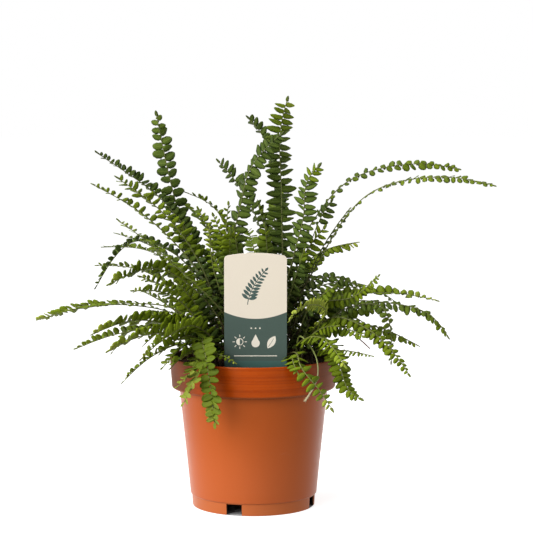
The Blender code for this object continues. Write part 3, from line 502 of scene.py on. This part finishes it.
# Short side fronds that shoot from the foot of another, by the other's number in the list.
SHOOTS = {parent: Frond(*row) for parent, *row in [
    (19, [(-12, -36, 146), (-28, -42, 184)], 7.5, 50, 0.2, 4.6),
    (18, [(-38, -34, 146), (-54, -50, 168)], 7.5, 50, 0.25, 4.6),
    (50, [(-44, -34, 127), (-57, -45, 123), (-66, -50, 115)], 8, 40, 0.35, 4.4),
    (37, [(-52, -24, 134), (-76, -38, 140)], 7.5, 45, 0.45, 4.4),
    (22, [(-44, -14, 150), (-66, -24, 182)], 7.5, 50, 0.25, 4.6),
    (25, [(-52, -8, 152), (-82, -24, 168)], 7.5, 40, 0.38, 4.6),
    (36, [(-58, 22, 138), (-84, 30, 152)], 7.5, 30, 0.3, 4.6),
    (1, [(-8, -18, 160), (-14, -22, 204)], 8, 70, 0.1, 4.6),
    (14, [(12, -20, 160), (8, -20, 206)], 8, 70, 0.1, 4.6),
    (13, [(-16, -30, 165), (-16, -38, 204)], 8, 70, 0.2, 4.6),
    (48, [(46, -40, 132), (60, -56, 137)], 7.5, 60, 0.3, 4.4),
    (29, [(42, -34, 150), (58, -46, 164)], 8, 50, 0.15, 4.6),
    (45, [(53, -29, 131), (78, -58, 129)], 7.5, 40, 0.3, 4.6),
    (46, [(62, 2, 138), (94, 2, 142)], 8, 25, 0.15, 4.6, 0.73, 0.15, 20),
    (27, [(48, -16, 146), (74, -26, 153)], 7.5, 50, 0.1, 5, 0.64),
    (47, [(58, 18, 142), (86, 24, 156)], 8, 30, 0.2, 4.8),
    (52, [(8, 58, 138), (4, 80, 150)], 8, 10, 0.2, 4.9),
    (51, [(-26, 56, 140), (-38, 78, 150)], 8, 10, 0.2, 4.9),
    (53, [(-42, 46, 140), (-62, 62, 150)], 8, 10, 0.2, 4.9),
    (54, [(48, 44, 140), (70, 58, 150)], 8, 10, 0.2, 4.9),
    (32, [(-20, 46, 160), (-34, 62, 190)], 8, 10, 0.15, 4.9),
    (33, [(34, 36, 158), (50, 52, 176)], 8, 10, 0.15, 4.9),
    (28, [(44, 28, 146), (76, 40, 153)], 7.5, 30, 0.1, 5, 0.64),
    (12, [(26, -30, 156), (36, -40, 190)], 8.5, 70, 0.15, 4.6, 0.59),
    (44, [(64, -22, 144), (88, -30, 148), (97, -35, 106)], 6, 20, 0.12, 4.6, 0.75, 0.2),
    (40, [(-51, -32, 135), (-77, -55, 122)], 7.5, 45, 0.4, 4.4, 0.7),
    (41, [(-38, -48, 113), (-44, -66, 104), (-54, -71, 95)], 7.5, 10, 0.65, 4, 0.6, 0.2, 14),
]}


class Path:
    """A smooth curve through points that leaves the first one in the start direction."""

    def __init__(self, points, start=(0, 0, 1)):
        points = np.array(points, float)
        chord = np.linalg.norm(np.diff(points, axis=0), axis=1)
        slope = np.diff(points, axis=0) / chord[:, None]
        ways = np.empty_like(points)
        ways[1:-1] = slope[:-1] * chord[1:, None] + slope[1:] * chord[:-1, None]
        ways[1:-1] /= (chord[1:] + chord[:-1])[:, None]
        ways[0] = start
        ways[-1] = 1.5 * slope[-1] - 0.5 * ways[-2]
        t = np.linspace(0, 1, 60, endpoint=False)[:, None]
        curve = [
            (2 * t**3 - 3 * t**2 + 1) * points[i]
            + (t**3 - 2 * t**2 + t) * ways[i] * chord[i]
            + (3 * t**2 - 2 * t**3) * points[i + 1]
            + (t**3 - t**2) * ways[i + 1] * chord[i]
            for i in range(len(chord))
        ]
        self.curve = np.vstack(curve + [points[-1:]])
        steps = np.linalg.norm(np.diff(self.curve, axis=0), axis=1)
        self.run = np.concatenate([[0], np.cumsum(steps)])
        self.length = self.run[-1]

    def at(self, distances):
        return np.stack([np.interp(distances, self.run, self.curve[:, k]) for k in range(3)], axis=-1)

    def ways(self, distances):
        distances = np.asarray(distances, float)
        ahead = self.at(np.minimum(distances + 1, self.length))
        return unit(ahead - self.at(np.maximum(distances - 1, 0)))


class Rib(Path):
    """A frond's rib, with its side and face directions."""

    def __init__(self, foot, frond, start=(0, 0, 1)):
        super().__init__([foot, *frond.points], start)
        self.frond = frond
        self.heading = np.array(frond.points[-1], float) - foot
        self.turn = radians(frond.turn)

    def frame(self, distances):
        """Side, face and forward directions at the distances."""
        distances = np.asarray(distances, float)
        ways = self.ways(distances)
        level = unit(np.array([-self.heading[1], self.heading[0], 0.0]))
        level = level if level[1] < 0 else -level
        sides = unit(level - (ways @ level)[..., None] * ways)
        faces = np.cross(sides, ways)
        begin, end = LATE_TURN if self.frond.lean > LATE_LEAN else EARLY_TURN
        turn = self.turn * np.clip((distances / self.length - begin) / (end - begin), 0, 1)[..., None]
        across = np.cos(turn) * sides - np.sin(turn) * faces
        return across, np.cross(across, ways), ways


def names_and_feet():
    """Each frond's name and foot. A ring's stalks stand in the order in which they head off."""
    names, feet, first = [], {}, 0
    for ring, (radius, count) in RINGS.items():
        names += [f"frond_{ring}_{k + 1:02d}" for k in range(count)]
        members = range(first, first + count)
        heading = {i: atan2(FRONDS[i].points[0][1], FRONDS[i].points[0][0]) for i in members}
        members = sorted(members, key=heading.get)
        step = tau / count
        drift = sum(np.exp(1j * (heading[i] - k * step)) for k, i in enumerate(members))
        for k, i in enumerate(members):
            turn = np.angle(drift) + k * step
            turn += HEADING_SHARE * np.angle(np.exp(1j * (heading[i] - turn)))
            feet[i] = np.array([radius * cos(turn), radius * sin(turn), STALK_FOOT_Z])
        first += count
    return names, feet


def shoot_rib(shoot, parent):
    """A side frond leaves its parent's stalk just over the soil, up and out to its own side."""
    root = parent.at([SHOOT_RISE])[0]
    side, face, _ = (way[0] for way in parent.frame([SHOOT_RISE]))
    heading = (np.array(shoot.points[0], float) - root) * (1, 1, 0)
    out = max((side, -side, face, -face), key=lambda way: way @ heading)
    return Rib(root, shoot, unit(out + np.array([0, 0, 1.0])))


def leaflet_pattern(rows=10, columns=5):
    """A leaflet laid flat: its points' shares along and across, and quads for both faces."""
    along = 0.5 - 0.5 * np.cos(np.linspace(0.0, pi, rows))
    across = np.linspace(-1, 1, columns)
    u, v = (grid.ravel() for grid in np.meshgrid(along, across, indexing="ij"))
    top = np.arange(rows * columns).reshape(rows, columns)
    below = top.copy()
    below[1:-1, 1:-1] = rows * columns + np.arange((rows - 2) * (columns - 2)).reshape(rows - 2, columns - 2)
    inner = top[1:-1, 1:-1].ravel()
    face = np.zeros(rows * columns)
    face[inner] = 1
    row = np.repeat(np.arange(rows), columns)
    quads = []
    for i in range(rows - 1):
        for j in range(columns - 1):
            quads.append((top[i, j], top[i + 1, j], top[i + 1, j + 1], top[i, j + 1]))
            quads.append((below[i, j], below[i, j + 1], below[i + 1, j + 1], below[i + 1, j]))
    faces = np.concatenate([face, -np.ones(len(inner))])
    return *(np.concatenate([share, share[inner]]) for share in (u, v, row)), faces, np.array(quads)


def overshadowed(place):
    """How much the fronds above keep the light off a leaflet: 1 low in the middle, 0 outside."""
    out = hypot(place[0], place[1])
    low = min(1, max(0, (185 - place[2]) / 45))
    return low * min(1, max(0, (56 - out) / 22))


PLANT_LOW, PLANT_HIGH = np.array(cad_low) / MM, np.array(cad_high) / MM  # no leaflet reaches past these
LEAF_U, LEAF_V, LEAF_ROW, LEAF_FACE, LEAF_QUADS = leaflet_pattern()
LEAF_SCALLOP = 1 + 0.05 * np.where(LEAF_ROW % 2, 1, -1) * (LEAF_ROW > 1) * (LEAF_ROW < 8)


class Foliage:
    """A frond in the making, with any side frond: its points, quads, and what its finishes read."""

    def __init__(self):
        self.points, self.quads, self.stalky, self.blade, self.tone = [], [], [], [], []
        self.count = 0

    def add(self, points, quads, stalky, blade, tone):
        """Each point's blade is its share along and across, and its tone three values for its finish."""
        self.quads.extend((np.asarray(quads) + self.count).tolist())
        self.stalky.extend([stalky] * len(quads))
        self.points.append(points)
        self.blade.append(np.stack(blade, axis=1))
        self.tone.append(np.stack([np.broadcast_to(value, len(points)) for value in (*tone, 1)], axis=1))
        self.count += len(points)

    def add_leaflet(self, root, reach, forward, normal, length, width, freshness_and_shade, rng):
        """One leaflet: cupped, a little waved, with its midrib sunk and its end bent down."""
        u, v = LEAF_U, LEAF_V
        cup, bend, wave = rng.uniform(0.06, 0.2), rng.uniform(0.0, 0.16), rng.uniform(0, tau)
        round_end = 1.7 + 2.4 * min(1, max(0, width / length - 0.4) / 0.4) + rng.uniform(-0.2, 0.3)
        breadth = (1 - u**round_end) ** 0.62 * (0.55 + 0.45 * np.minimum(1, u / 0.3) ** 0.8)
        breadth = (breadth + 0.06 * (u > 0.99)) * LEAF_SCALLOP
        ear = 1 + 0.35 * v * np.exp(-((u / 0.2) ** 2))
        x = u * length - 0.06 * length * v**2 * (u < 0.4)
        y = v * breadth * ear * width / 2 + 0.08 * length * sin(wave) * u**2
        z = -cup * width * v**2 - bend * length * u**2
        z += 0.12 * LEAF_FACE * (1 - v**2)
        z -= 0.14 * np.exp(-((v / 0.2) ** 2)) * np.minimum(1, 3 * (1 - u))
        z += 0.035 * width * v * np.sin(5 * u + wave)
        points = root + x[:, None] * reach + y[:, None] * forward + z[:, None] * normal
        points += np.maximum(PLANT_LOW - points.min(axis=0), 0)
        points -= np.maximum(points.max(axis=0) - PLANT_HIGH, 0)
        # The pattern turns over on one side of the rib, so there its quads are wound the other way.
        quads = LEAF_QUADS if np.dot(np.cross(reach, forward), normal) > 0 else LEAF_QUADS[:, ::-1]
        blade = (u, 0.5 + 0.5 * v)
        self.add(points, quads, False, blade, (freshness_and_shade, rng.random(), LEAF_FACE < 0))

    def add_rib(self, rib):
        """The rib from the soil to the tip, a little wider than it is thick."""
        steps = max(16, int(rib.length / 3))
        distances = np.linspace(0, rib.length - 0.6, steps)
        side, face, _ = rib.frame(distances)
        share = distances / rib.length
        wide, thick = 0.74 * (1 - share) + 0.26 * share, 0.60 * (1 - share) + 0.24 * share
        turns = np.arange(RIB_SIDES) * tau / RIB_SIDES
        centre = rib.at(distances)
        rings = np.stack([
            centre + cos(turn) * side * wide[:, None] + sin(turn) * face * thick[:, None]
            for turn in turns
        ], axis=1)
        share = np.repeat(share, RIB_SIDES)
        blade = (share, np.full(len(share), 0.5))
        self.add(rings.reshape(-1, 3), bands(steps, RIB_SIDES), True, blade, (share, rib.frond.youth, 0))

    def add_frond(self, rib, rng):
        """The rib, its leaflets in turn on the two sides, and one more leaflet at its tip."""
        frond = rib.frond
        self.add_rib(rib)
        start = max(rib.length * frond.bare, STALK_LEAST)
        leafy = rib.length - min(5.6, 0.68 * frond.leaflet) - start
        pairs = int(leafy / frond.pitch)
        broad, late = frond.leaflet > BROAD, frond.lean > LATE_LEAN
        blunt = frond.end == "blunt" or frond.end != "slim" and (frond.leaflet >= 8 or late)
        for k in range(pairs):
            for hand in (-1, 1):
                s = (k + (0.25 if hand < 0 else 0.75)) / pairs
                d = start + leafy * s * (1.25 - 0.25 * s)
                side, face, way = (v[0] for v in rib.frame([d]))
                taper = (0.4 * s**6 if blunt else 0.55 * s**3.5) * (0.6 if broad else 1)
                grow = 0.5 + 0.65 * s if late else 0.7 + 1.9 * s
                length = frond.leaflet * min(1, grow) * (1 - taper) * rng.uniform(0.86, 1.08)
                width = min(length * frond.plump, 1.35 * frond.pitch) * rng.uniform(0.88, 1.14)
                lean = radians(frond.lean + (-10 if broad else 26) * s**6 + rng.uniform(-12, 12))
                sink = radians(frond.hang + rng.uniform(-18, 18))
                twist = radians(8 + rng.uniform(-26, 26))
                out = side * hand
                reach = cos(sink) * out - sin(sink) * face
                reach = unit(cos(lean) * reach + sin(lean) * way)
                normal = unit(face - (face @ reach) * reach)
                forward = np.cross(normal, reach)
                forward = forward if forward @ way > 0 else -forward
                forward, normal = (
                    cos(twist) * forward + sin(twist) * normal,
                    cos(twist) * normal - sin(twist) * forward,
                )
                root = rib.at([d])[0] + out * (0.5 * (1 - d / rib.length) + 0.1)
                freshness_and_shade = frond.youth * (0.75 + 0.5 * rng.random()) + (0.08 + 0.9 * frond.youth) * s**5
                if frond.end == "lime":
                    freshness_and_shade += 0.6 * s ** (16 if broad else 6)
                # Painted shade: leaflets low in the middle of the plant are darkened, down to near black.
                freshness_and_shade = min(1, freshness_and_shade) - 1.6 * overshadowed(root)
                self.add_leaflet(root, reach, forward, normal, length, width, freshness_and_shade, rng)
        side, face, way = (v[0] for v in rib.frame([rib.length]))
        long = min(4.2, 0.5 * frond.leaflet)
        tip = rib.at([rib.length - long])[0]
        self.add_leaflet(tip, way, side, face, long, long * 0.62, min(1, frond.youth * 1.6), rng)

    def mesh(self):
        made = mesh_of("frond", np.vstack(self.points), self.quads)
        made.shade_smooth()
        loops = np.empty(len(made.loops), np.int32)
        made.loops.foreach_get("vertex_index", loops)
        made.uv_layers.new(name="blade").data.foreach_set("uv", np.vstack(self.blade)[loops].ravel())
        tone = made.color_attributes.new("tone", "FLOAT_COLOR", "POINT")
        tone.data.foreach_set("color", np.vstack(self.tone).ravel())
        made.polygons.foreach_set("material_index", np.where(self.stalky, 0, 1).astype(np.int32))
        return made


def tone_of(finish):
    """The three values that the points of a frond or a stem carry for their finish."""
    return finish.parts(finish.node("Attribute", {"attribute_name": "tone"}, {}, "Vector"))


# Wiry stalk: dark brown at the foot, its own brown deepened there by painted shade, green along the rib, with
# fine lengthwise grain.
stalk = Finish("fern_stalk", 0.5, Specular_IOR_Level=0.25)
along, youth, _ = tone_of(stalk)
grain = stalk.noise(stalk.place(), 2 * MM, 3)
green = stalk.blend(youth, (0.12, 0.142, 0.034), (0.26, 0.30, 0.07))
# The dark brown foot is partly the stalk's own colour and partly painted shade among the stalks.
colour = stalk.blend(along.ramp(0.15, 0.5), (0.045, 0.032, 0.012), green)
stalk.show(Base_Color=stalk.blend(grain * 0.5, colour, (0.05, 0.035, 0.012)))
stalk.bump(grain, 0.05 * MM, 0.5)

# Leaflet: satin green with a paler midrib, faint side veins and a matt, paler underside, with painted shade
# that darkens it to near black deep in the plant.
leaf = Finish("fern_leaflet", 0.55, Specular_IOR_Level=0.2, Specular_Tint=(0.9, 1.0, 0.15, 1))
freshness_and_shade, varied, under = tone_of(leaf)
along, across, _ = leaf.parts(leaf.node("UVMap", {"uv_map": "blade"}, {}))
off_rib = abs(across - 0.5) * 2
cloud = leaf.noise(leaf.place(), 6 * MM, 3)
patch = leaf.noise(leaf.place(), 38 * MM, 1).ramp(0.35, 0.65)
vein = leaf.node("Math", {"operation": "SINE"}, {0: (along * 9 - off_rib * 2.2) * tau})
old = leaf.blend(varied * 0.7 + patch * 0.4, (0.036, 0.064, 0.016), (0.082, 0.128, 0.023))
grown = leaf.blend(varied * 0.6 + patch * 0.5, (0.074, 0.112, 0.005), (0.170, 0.232, 0.009))
lime = leaf.blend(freshness_and_shade.ramp(0.6, 1.0), (0.19, 0.27, 0.014), (0.40, 0.46, 0.06))
colour = leaf.coats(
    old,
    # Below zero the tone goes to near black: painted shade deep in the plant and in the undergrowth, and
    # darker fronds where the list gives a negative youth.
    (freshness_and_shade.ramp(0.0, -0.8), (0.010, 0.018, 0.004)),
    (freshness_and_shade.ramp(0.05, 0.28), grown),
    (freshness_and_shade.ramp(0.32, 0.8), lime),
    (cloud.ramp(0.45, 0.75) * 0.25, (0.12, 0.17, 0.02)),
    (off_rib.ramp(0.16, 0.04) * 0.3, (0.20, 0.27, 0.06)),
    (under * 0.35, (0.12, 0.17, 0.04)),
)
leaf.show(Base_Color=colour, Roughness=0.4 + cloud * 0.14 + under * 0.3)
leaf.bump(vein * 0.5 + cloud, 0.06 * MM, 0.6)
glow = leaf.node("BsdfTranslucent", {}, {"Color": (0.22, 0.30, 0.012, 1)})
leafy = leaf.node("MixShader", {}, {0: 0.16, 1: Wire(leaf, leaf.shader.outputs[0]), 2: glow})
leaf.tree.links.new(leafy.socket, leaf.tree.nodes["Material Output"].inputs["Surface"])

frond_names, frond_feet = names_and_feet()
for index, (name, frond) in enumerate(zip(frond_names, FRONDS)):
    chance = random.Random(100 + index)
    stem = Rib(frond_feet[index], frond)
    foliage = Foliage()
    foliage.add_frond(stem, chance)
    if index in SHOOTS:
        foliage.add_frond(shoot_rib(SHOOTS[index], stem), chance)
    add_piece("fern_" + name, foliage.mesh(), [stalk, leaf], "leaf", name)

# ----------------
# The undergrowth: short fronds that stay low between the stalks, where little light comes, and hide the soil
# from the side, coloured near black as painted shade, with a few young ones that come up among the others.
UNDERGROWTH = 54
GOLDEN_TURN = pi * (3 - sqrt(5))
LABEL_REACH, BEHIND_LABEL = 30, -38  # so far to each side of the label, all stand behind it


def short_frond(k, rng):
    """One small frond of the undergrowth: its foot, and a path that leans out over the soil."""
    radius = 10 + 38 * sqrt((k + 0.5) / UNDERGROWTH)
    turn = k * GOLDEN_TURN + rng.uniform(-0.2, 0.2)
    out = np.array([cos(turn), sin(turn), 0])
    foot = radius * out + (0, 0, STALK_FOOT_Z)
    reach, height = rng.uniform(6, 14), rng.uniform(20, 46) * (1 - 0.3 * radius / 48)
    points = [foot + 0.35 * reach * out + (0, 0, 0.6 * height), foot + reach * out + (0, 0, height)]
    for place in (*points, foot):
        if abs(place[0] - 2) < LABEL_REACH:
            place[1] = max(place[1], BEHIND_LABEL)
    leaflet, face_turn = rng.uniform(5, 7.5), rng.uniform(0, 60)
    # A youth of -0.7 colours these fronds near black: painted shade.
    return Rib(foot, Frond([tuple(place) for place in points], leaflet, face_turn, -0.7, 4.6, 0.64, 0.2, 15))


# The young ones: each one's foot (mm), then as above. The first two stand at the front by the
# label's corners, and the others between the tall fronds.
YOUNG = [
    (28, -36, [(27, -49, 115), (28, -59, 111), (33, -65, 102)], 7.5, 0, 0.4, 4.4, 0.56, 0.3, 10),
    (-28, -38, [(-26, -48, 116), (-20, -53, 115), (-11, -54.5, 110)], 3.4, 20, 0.55, 3.6, 0.85, 0.3, 10),
    (-12, -20, [(-16, -22, 160), (-19, -22, 202), (-17, -24, 221)], 6.5, 75, 0.25, 4.6, 0.6, 0.35, 14),
    (-16, -16, [(-20, -20, 165), (-23, -22, 197), (-29, -26, 213)], 6.5, 60, 0.3, 4.6, 0.6, 0.35, 14),
    (-20, -10, [(-26, -16, 165), (-33, -18, 203), (-40, -20, 217)], 6, 50, 0.15, 4.6, 0.6, 0.4, 14),
    (20, 4, [(36, 2, 172), (49, 0, 209), (57, -4, 222)], 8, 60, -0.2, 4, 0.6, 0.8, 14),
    (26, -4, [(42, -5, 172), (56, -10, 198), (69, -14, 216)], 4.5, 45, 0.0, 5, 0.7, 0.42, 35, 30),
]

chance = random.Random(7)
low_fronds = Foliage()
for k in range(UNDERGROWTH):
    low_fronds.add_frond(short_frond(k, chance), chance)
for x, y, *row in YOUNG:
    low_fronds.add_frond(Rib(np.array([x, y, STALK_FOOT_Z]), Frond(*row)), chance)
add_piece("undergrowth", low_fronds.mesh(), [stalk, leaf], "leaf")

# ----------------
# The bare stalk: an old frond's rib that has dropped its leaflets, brown and dry, with the
# small scars where they were. It leans out over the rim on the right.
SCARS = 22


class Strand:
    """A tapering tube along a path, a little uneven and rounded at its end, and what grows on it."""

    def __init__(self, path, radii, step, wobble, sides=8):
        rng = random.Random(1)
        distances = np.append(np.arange(0, path.length, step), path.length)
        ways = path.ways(distances)
        level = unit(np.cross(ways, (0.3, 1, 0.2)))
        third = np.cross(ways, level)
        self.verts, self.share = [], []
        for i, centre in enumerate(path.at(distances)):
            s = distances[i] / path.length
            radius = (radii[0] + (radii[1] - radii[0]) * s) * (1 + wobble * rng.uniform(-1, 1))
            if i == len(distances) - 1:
                radius *= 0.4
            self.verts += [centre + x * level[i] + y * third[i] for x, y in circle(radius, sides)]
            self.share += [s] * sides
        self.faces = bands(len(distances), sides)
        last = len(self.verts) - sides
        self.faces += [tuple(range(sides))[::-1], tuple(range(last, last + sides))]

    def add(self, points, faces, share):
        self.faces += [tuple(len(self.verts) + k for k in face) for face in faces]
        self.verts += points
        self.share += [share] * len(points)

    def mesh(self, name):
        made = mesh_of(name, self.verts, self.faces)
        made.shade_smooth()
        tone = [value for s in self.share for value in (s, 0, 0, 1)]
        made.color_attributes.new("tone", "FLOAT_COLOR", "POINT").data.foreach_set("color", tone)
        return made


dry_path = Path([(30, -14, 104), (48, -22, 127), (66, -30, 129), (82, -38, 118)])
dry_stalk = Strand(dry_path, (0.68, 0.42), 1.5, 0.08)
for scar in range(SCARS):
    at = dry_path.length * (0.25 + 0.72 * scar / SCARS)
    way = dry_path.ways([at])[0]
    out = unit(np.cross(way, (0, 0, 1))) * (1 if scar % 2 else -1)
    foot = dry_path.at([at])[0] + out * 0.3
    ring = [foot + x * way + y * np.cross(way, out) for x, y in circle(0.25, 4)]
    sides = [(k, (k + 1) % 4, 4) for k in range(4)]
    dry_stalk.add([*ring, foot + out * 0.75 + way * 0.3], sides, at / dry_path.length)

dry = Finish("dry_stalk", 0.6)
dry_colour = dry.blend(tone_of(dry)[0].ramp(0.1, 0.9), (0.085, 0.055, 0.022), (0.16, 0.07, 0.04))
dry_grain = dry.noise(dry.place(), 1.5 * MM, 4)
dry.show(Base_Color=dry_colour, Roughness=0.5 + dry_grain * 0.3)
dry.bump(dry_grain, 0.08 * MM, 0.6)
add_piece("dry_stalk", dry_stalk.mesh("dry_stalk"), [dry], "bare_stalk", "bare_stalk")

# ----------------
# The runner: a thin green shoot that the fern sends over the rim to root. It pales along its
# length and ends in a root tip with a brush of fine white hairs.
ROOT_HAIRS, HAIR_THICK = 260, 0.07

runner_path = Path([(30, -30, 104), (33, -38, 127), (44, -47, 113), (45, -50, 102), (36, -55, 84)])
runner = Strand(runner_path, (0.62, 0.42), 1.2, 0.06)
hair_rng = random.Random(11)
for _ in range(ROOT_HAIRS):
    back = hair_rng.random() ** 1.4 * 13
    at = runner_path.length - back
    way = runner_path.ways([at])[0]
    aside = unit(np.cross(way, [hair_rng.uniform(-1, 1) for _ in range(3)]))
    lean = unit(aside + way * hair_rng.uniform(0.4, 1.4))
    foot = runner_path.at([at])[0] + aside * 0.3
    long = hair_rng.uniform(0.8, 2.0) * (1 - 0.04 * back)
    cross = unit(np.cross(lean, way)) * HAIR_THICK
    third = unit(np.cross(lean, cross)) * HAIR_THICK
    root = [foot + cross, foot - cross * 0.5 + third, foot - cross * 0.5 - third]
    runner.add([*root, foot + lean * long], [(0, 1, 3), (1, 2, 3), (2, 0, 3)], 1.0)

shoot_green = Finish("runner_green", 0.55)
run_along = tone_of(shoot_green)[0].ramp(0.55, 0.92)
run_mottle = shoot_green.noise(shoot_green.place(), 2.5 * MM, 3)
run_green = shoot_green.blend(run_mottle, (0.16, 0.22, 0.035), (0.30, 0.34, 0.08))
shoot_green.show(Base_Color=shoot_green.blend(run_along, run_green, (0.62, 0.56, 0.33)))
add_piece("runner", runner.mesh("runner"), [shoot_green], "runner", "runner")

# ----------------
# The plant label: a stiff card with a satin print on both faces, cream above and dark grey-green
# below, with a fern sprig and three signs for its care. Its stake is pushed into the soil.
LABEL_MIDDLE = 1.7
LABEL_FRONT, LABEL_BACK = -47.4, -46.6
LABEL_HALF = 21.8
LABEL_FOOT, LABEL_TOP = 105.2, 185.0
CORNER, ARCH = 3.2, 1.6  # the corners' radius, and how far the top edge rises in the middle
CHAMFER = 0.12


def label_outline():
    """The card's outline from its low right corner over the arched top to the stake."""
    straight = LABEL_HALF - CORNER
    right = [(LABEL_HALF, LABEL_FOOT)]
    right += [(straight + x, LABEL_TOP - CORNER + z) for x, z in circle(CORNER, 48)[:13]]
    for x in (straight * (1 - k / 12) for k in range(1, 12)):
        right.append((x, LABEL_TOP + ARCH * (1 - (x / straight) ** 2)))
    left = [(-x, z) for x, z in right[::-1]]
    stake = [(-6, LABEL_FOOT), (-6, 80), (0, 68), (6, 80), (6, LABEL_FOOT)]
    return right + [(0, LABEL_TOP + ARCH)] + left + stake


def plate(name, outlines, front, back):
    """Closed plates of the given outlines (x to the right, z up), the thick ones chamfered."""
    verts, faces = [], []
    levels = [(front, CHAMFER), (front + CHAMFER, 0), (back - CHAMFER, 0), (back, CHAMFER)]
    if back - front < 2 * CHAMFER:
        levels = [(front, 0), (back, 0)]
    for outline in outlines:
        count, base = len(outline), len(verts)
        centre = np.mean(outline, axis=0)
        for y, inset in levels:
            for x, z in outline:
                away = np.array([x, z]) - centre
                away = away / max(np.linalg.norm(away), 1e-6) * inset
                verts.append((x - away[0] + LABEL_MIDDLE, y, z - away[1]))
        faces += bands(len(levels), count, base)
        faces += [tuple(range(base, base + count)), tuple(range(len(verts) - 1, len(verts) - 1 - count, -1))]
    made = mesh_of(name, verts, faces)
    bm = bmesh.new()
    bm.from_mesh(made)
    bmesh.ops.recalc_face_normals(bm, faces=bm.faces)
    bm.to_mesh(made)
    bm.free()
    return made


card = Finish("label_card", 0.42, Specular_IOR_Level=0.4)
card_x, _, card_z = card.parts(card.place())
card_off = (card_x - LABEL_MIDDLE * MM) / (LABEL_HALF * MM)
edge_line = 140.6 * MM + card_off * card_off * 4.8 * MM
below = (card_z - edge_line).ramp(0.12 * MM, -0.12 * MM)
fibre = card.noise(card.place(), 1.1 * MM, 3)
cream = card.blend(fibre, (0.71, 0.63, 0.515), (0.74, 0.665, 0.55))
field = card.blend(fibre, (0.034, 0.062, 0.048), (0.041, 0.073, 0.058))
# Painted light: a brighter teal band along the foot of the dark print, where the card catches the light.
field = card.blend(card_z.ramp(111.6 * MM, 110.8 * MM) * 0.5, field, (0.036, 0.13, 0.115))
card.show(Base_Color=card.blend(below, cream, field), Roughness=0.42 + fibre * 0.1)
card.bump(fibre, 0.02 * MM, 0.3)
blank = plate("label_card", [label_outline()], LABEL_FRONT, LABEL_BACK)
add_piece("label_card", blank, [card], "label", "label")


def placed(points, turn, x, z):
    """A flat shape turned and moved to its place on the card."""
    c, s = cos(turn), sin(turn)
    return [(c * a - s * b + x, s * a + c * b + z) for a, b in points]


def petal(long, wide, steps=9):
    """A pointed oval from its root up."""
    up = [(wide / 2 * sin(pi * k / steps) ** 0.8, long * k / steps) for k in range(1, steps)]
    return [(0, 0)] + up + [(0, long)] + [(-x, z) for x, z in up[::-1]]


# A sprig that bends to the right, with its leaflets in pairs.
sprig = []
stem = [(-5.5 + 12 * t**1.6, 150.5 + 26 * t - 2.6 * t * t) for t in np.linspace(0, 1, 41)]
for (ax, az), (bx, bz) in zip(stem, stem[1:]):
    nx, nz = unit(np.array([az - bz, bx - ax])) * 0.28
    sprig.append([(bx - nx, bz - nz), (bx + nx, bz + nz), (ax + nx, az + nz), (ax - nx, az - nz)])
for k in range(6, 40, 4):
    (ax, az), (bx, bz) = stem[k], stem[k + 1]
    up = atan2(bz - az, bx - ax) - pi / 2
    size = 1 - 0.5 * (k / 40) ** 1.5
    for hand in (-1, 1):
        sprig.append(placed(petal(6.4 * size, 2.5 * size), up + hand * radians(64), ax, az))
sprig.append(placed(petal(3.4, 1.7), up, *stem[-1]))

# The signs: a sun that is half in shade, a drop of water and a leaf, with a rule under them.
SUN_AT, LEAF_AT, LEAF_TURN = (-11, 124.5), (8.4, 120.0), radians(-32)
ray = [(-0.28, 3.4), (0.28, 3.4), (0.28, 5.0), (-0.28, 5.0)]
drop = [(0, 5.0)] + [(2.9 * sin(t), -1.2 - 2.9 * cos(t)) for t in np.linspace(-2.3, 2.3, 22)]
signs = [circle(2.5, 24, *SUN_AT)] + [placed(ray, tau * k / 8, *SUN_AT) for k in range(8)]
signs += [placed(drop, 0, 0, 124.7), placed(petal(10, 5.2, 14), LEAF_TURN, *LEAF_AT)]
signs += [[(-15, 114.3), (15, 114.3), (15, 114.9), (-15, 114.9)]]
signs += [circle(0.55, 12, x, 134.0) for x in (-3, 0, 3)]
shade = [(2.0 * cos(t), 2.0 * sin(t)) for t in np.linspace(-pi / 2, pi / 2, 14)]
midrib = [(-0.16, 1.2), (0.16, 1.2), (0.1, 8.2), (-0.1, 8.2)]
cut_outs = [placed(shade, 0, *SUN_AT), placed(midrib, LEAF_TURN, *LEAF_AT)]

green_ink = Finish("green_ink", 0.4, Base_Color=(0.032, 0.068, 0.056, 1))
pale_ink = Finish("pale_ink", 0.45, Base_Color=(0.74, 0.69, 0.58, 1))
veil_ink = Finish("veil_ink", 0.4, Base_Color=(0.038, 0.068, 0.054, 1))
INK_THICK = 0.02
for name, shapes, layer, ink in (
    ("label_sprig", sprig, 1, green_ink),
    ("label_signs", signs, 1, pale_ink),
    ("label_cut_outs", cut_outs, 2, veil_ink),
):
    add_piece(name, plate(name, shapes, LABEL_FRONT - layer * INK_THICK, LABEL_FRONT + 0.05), [ink], "label")
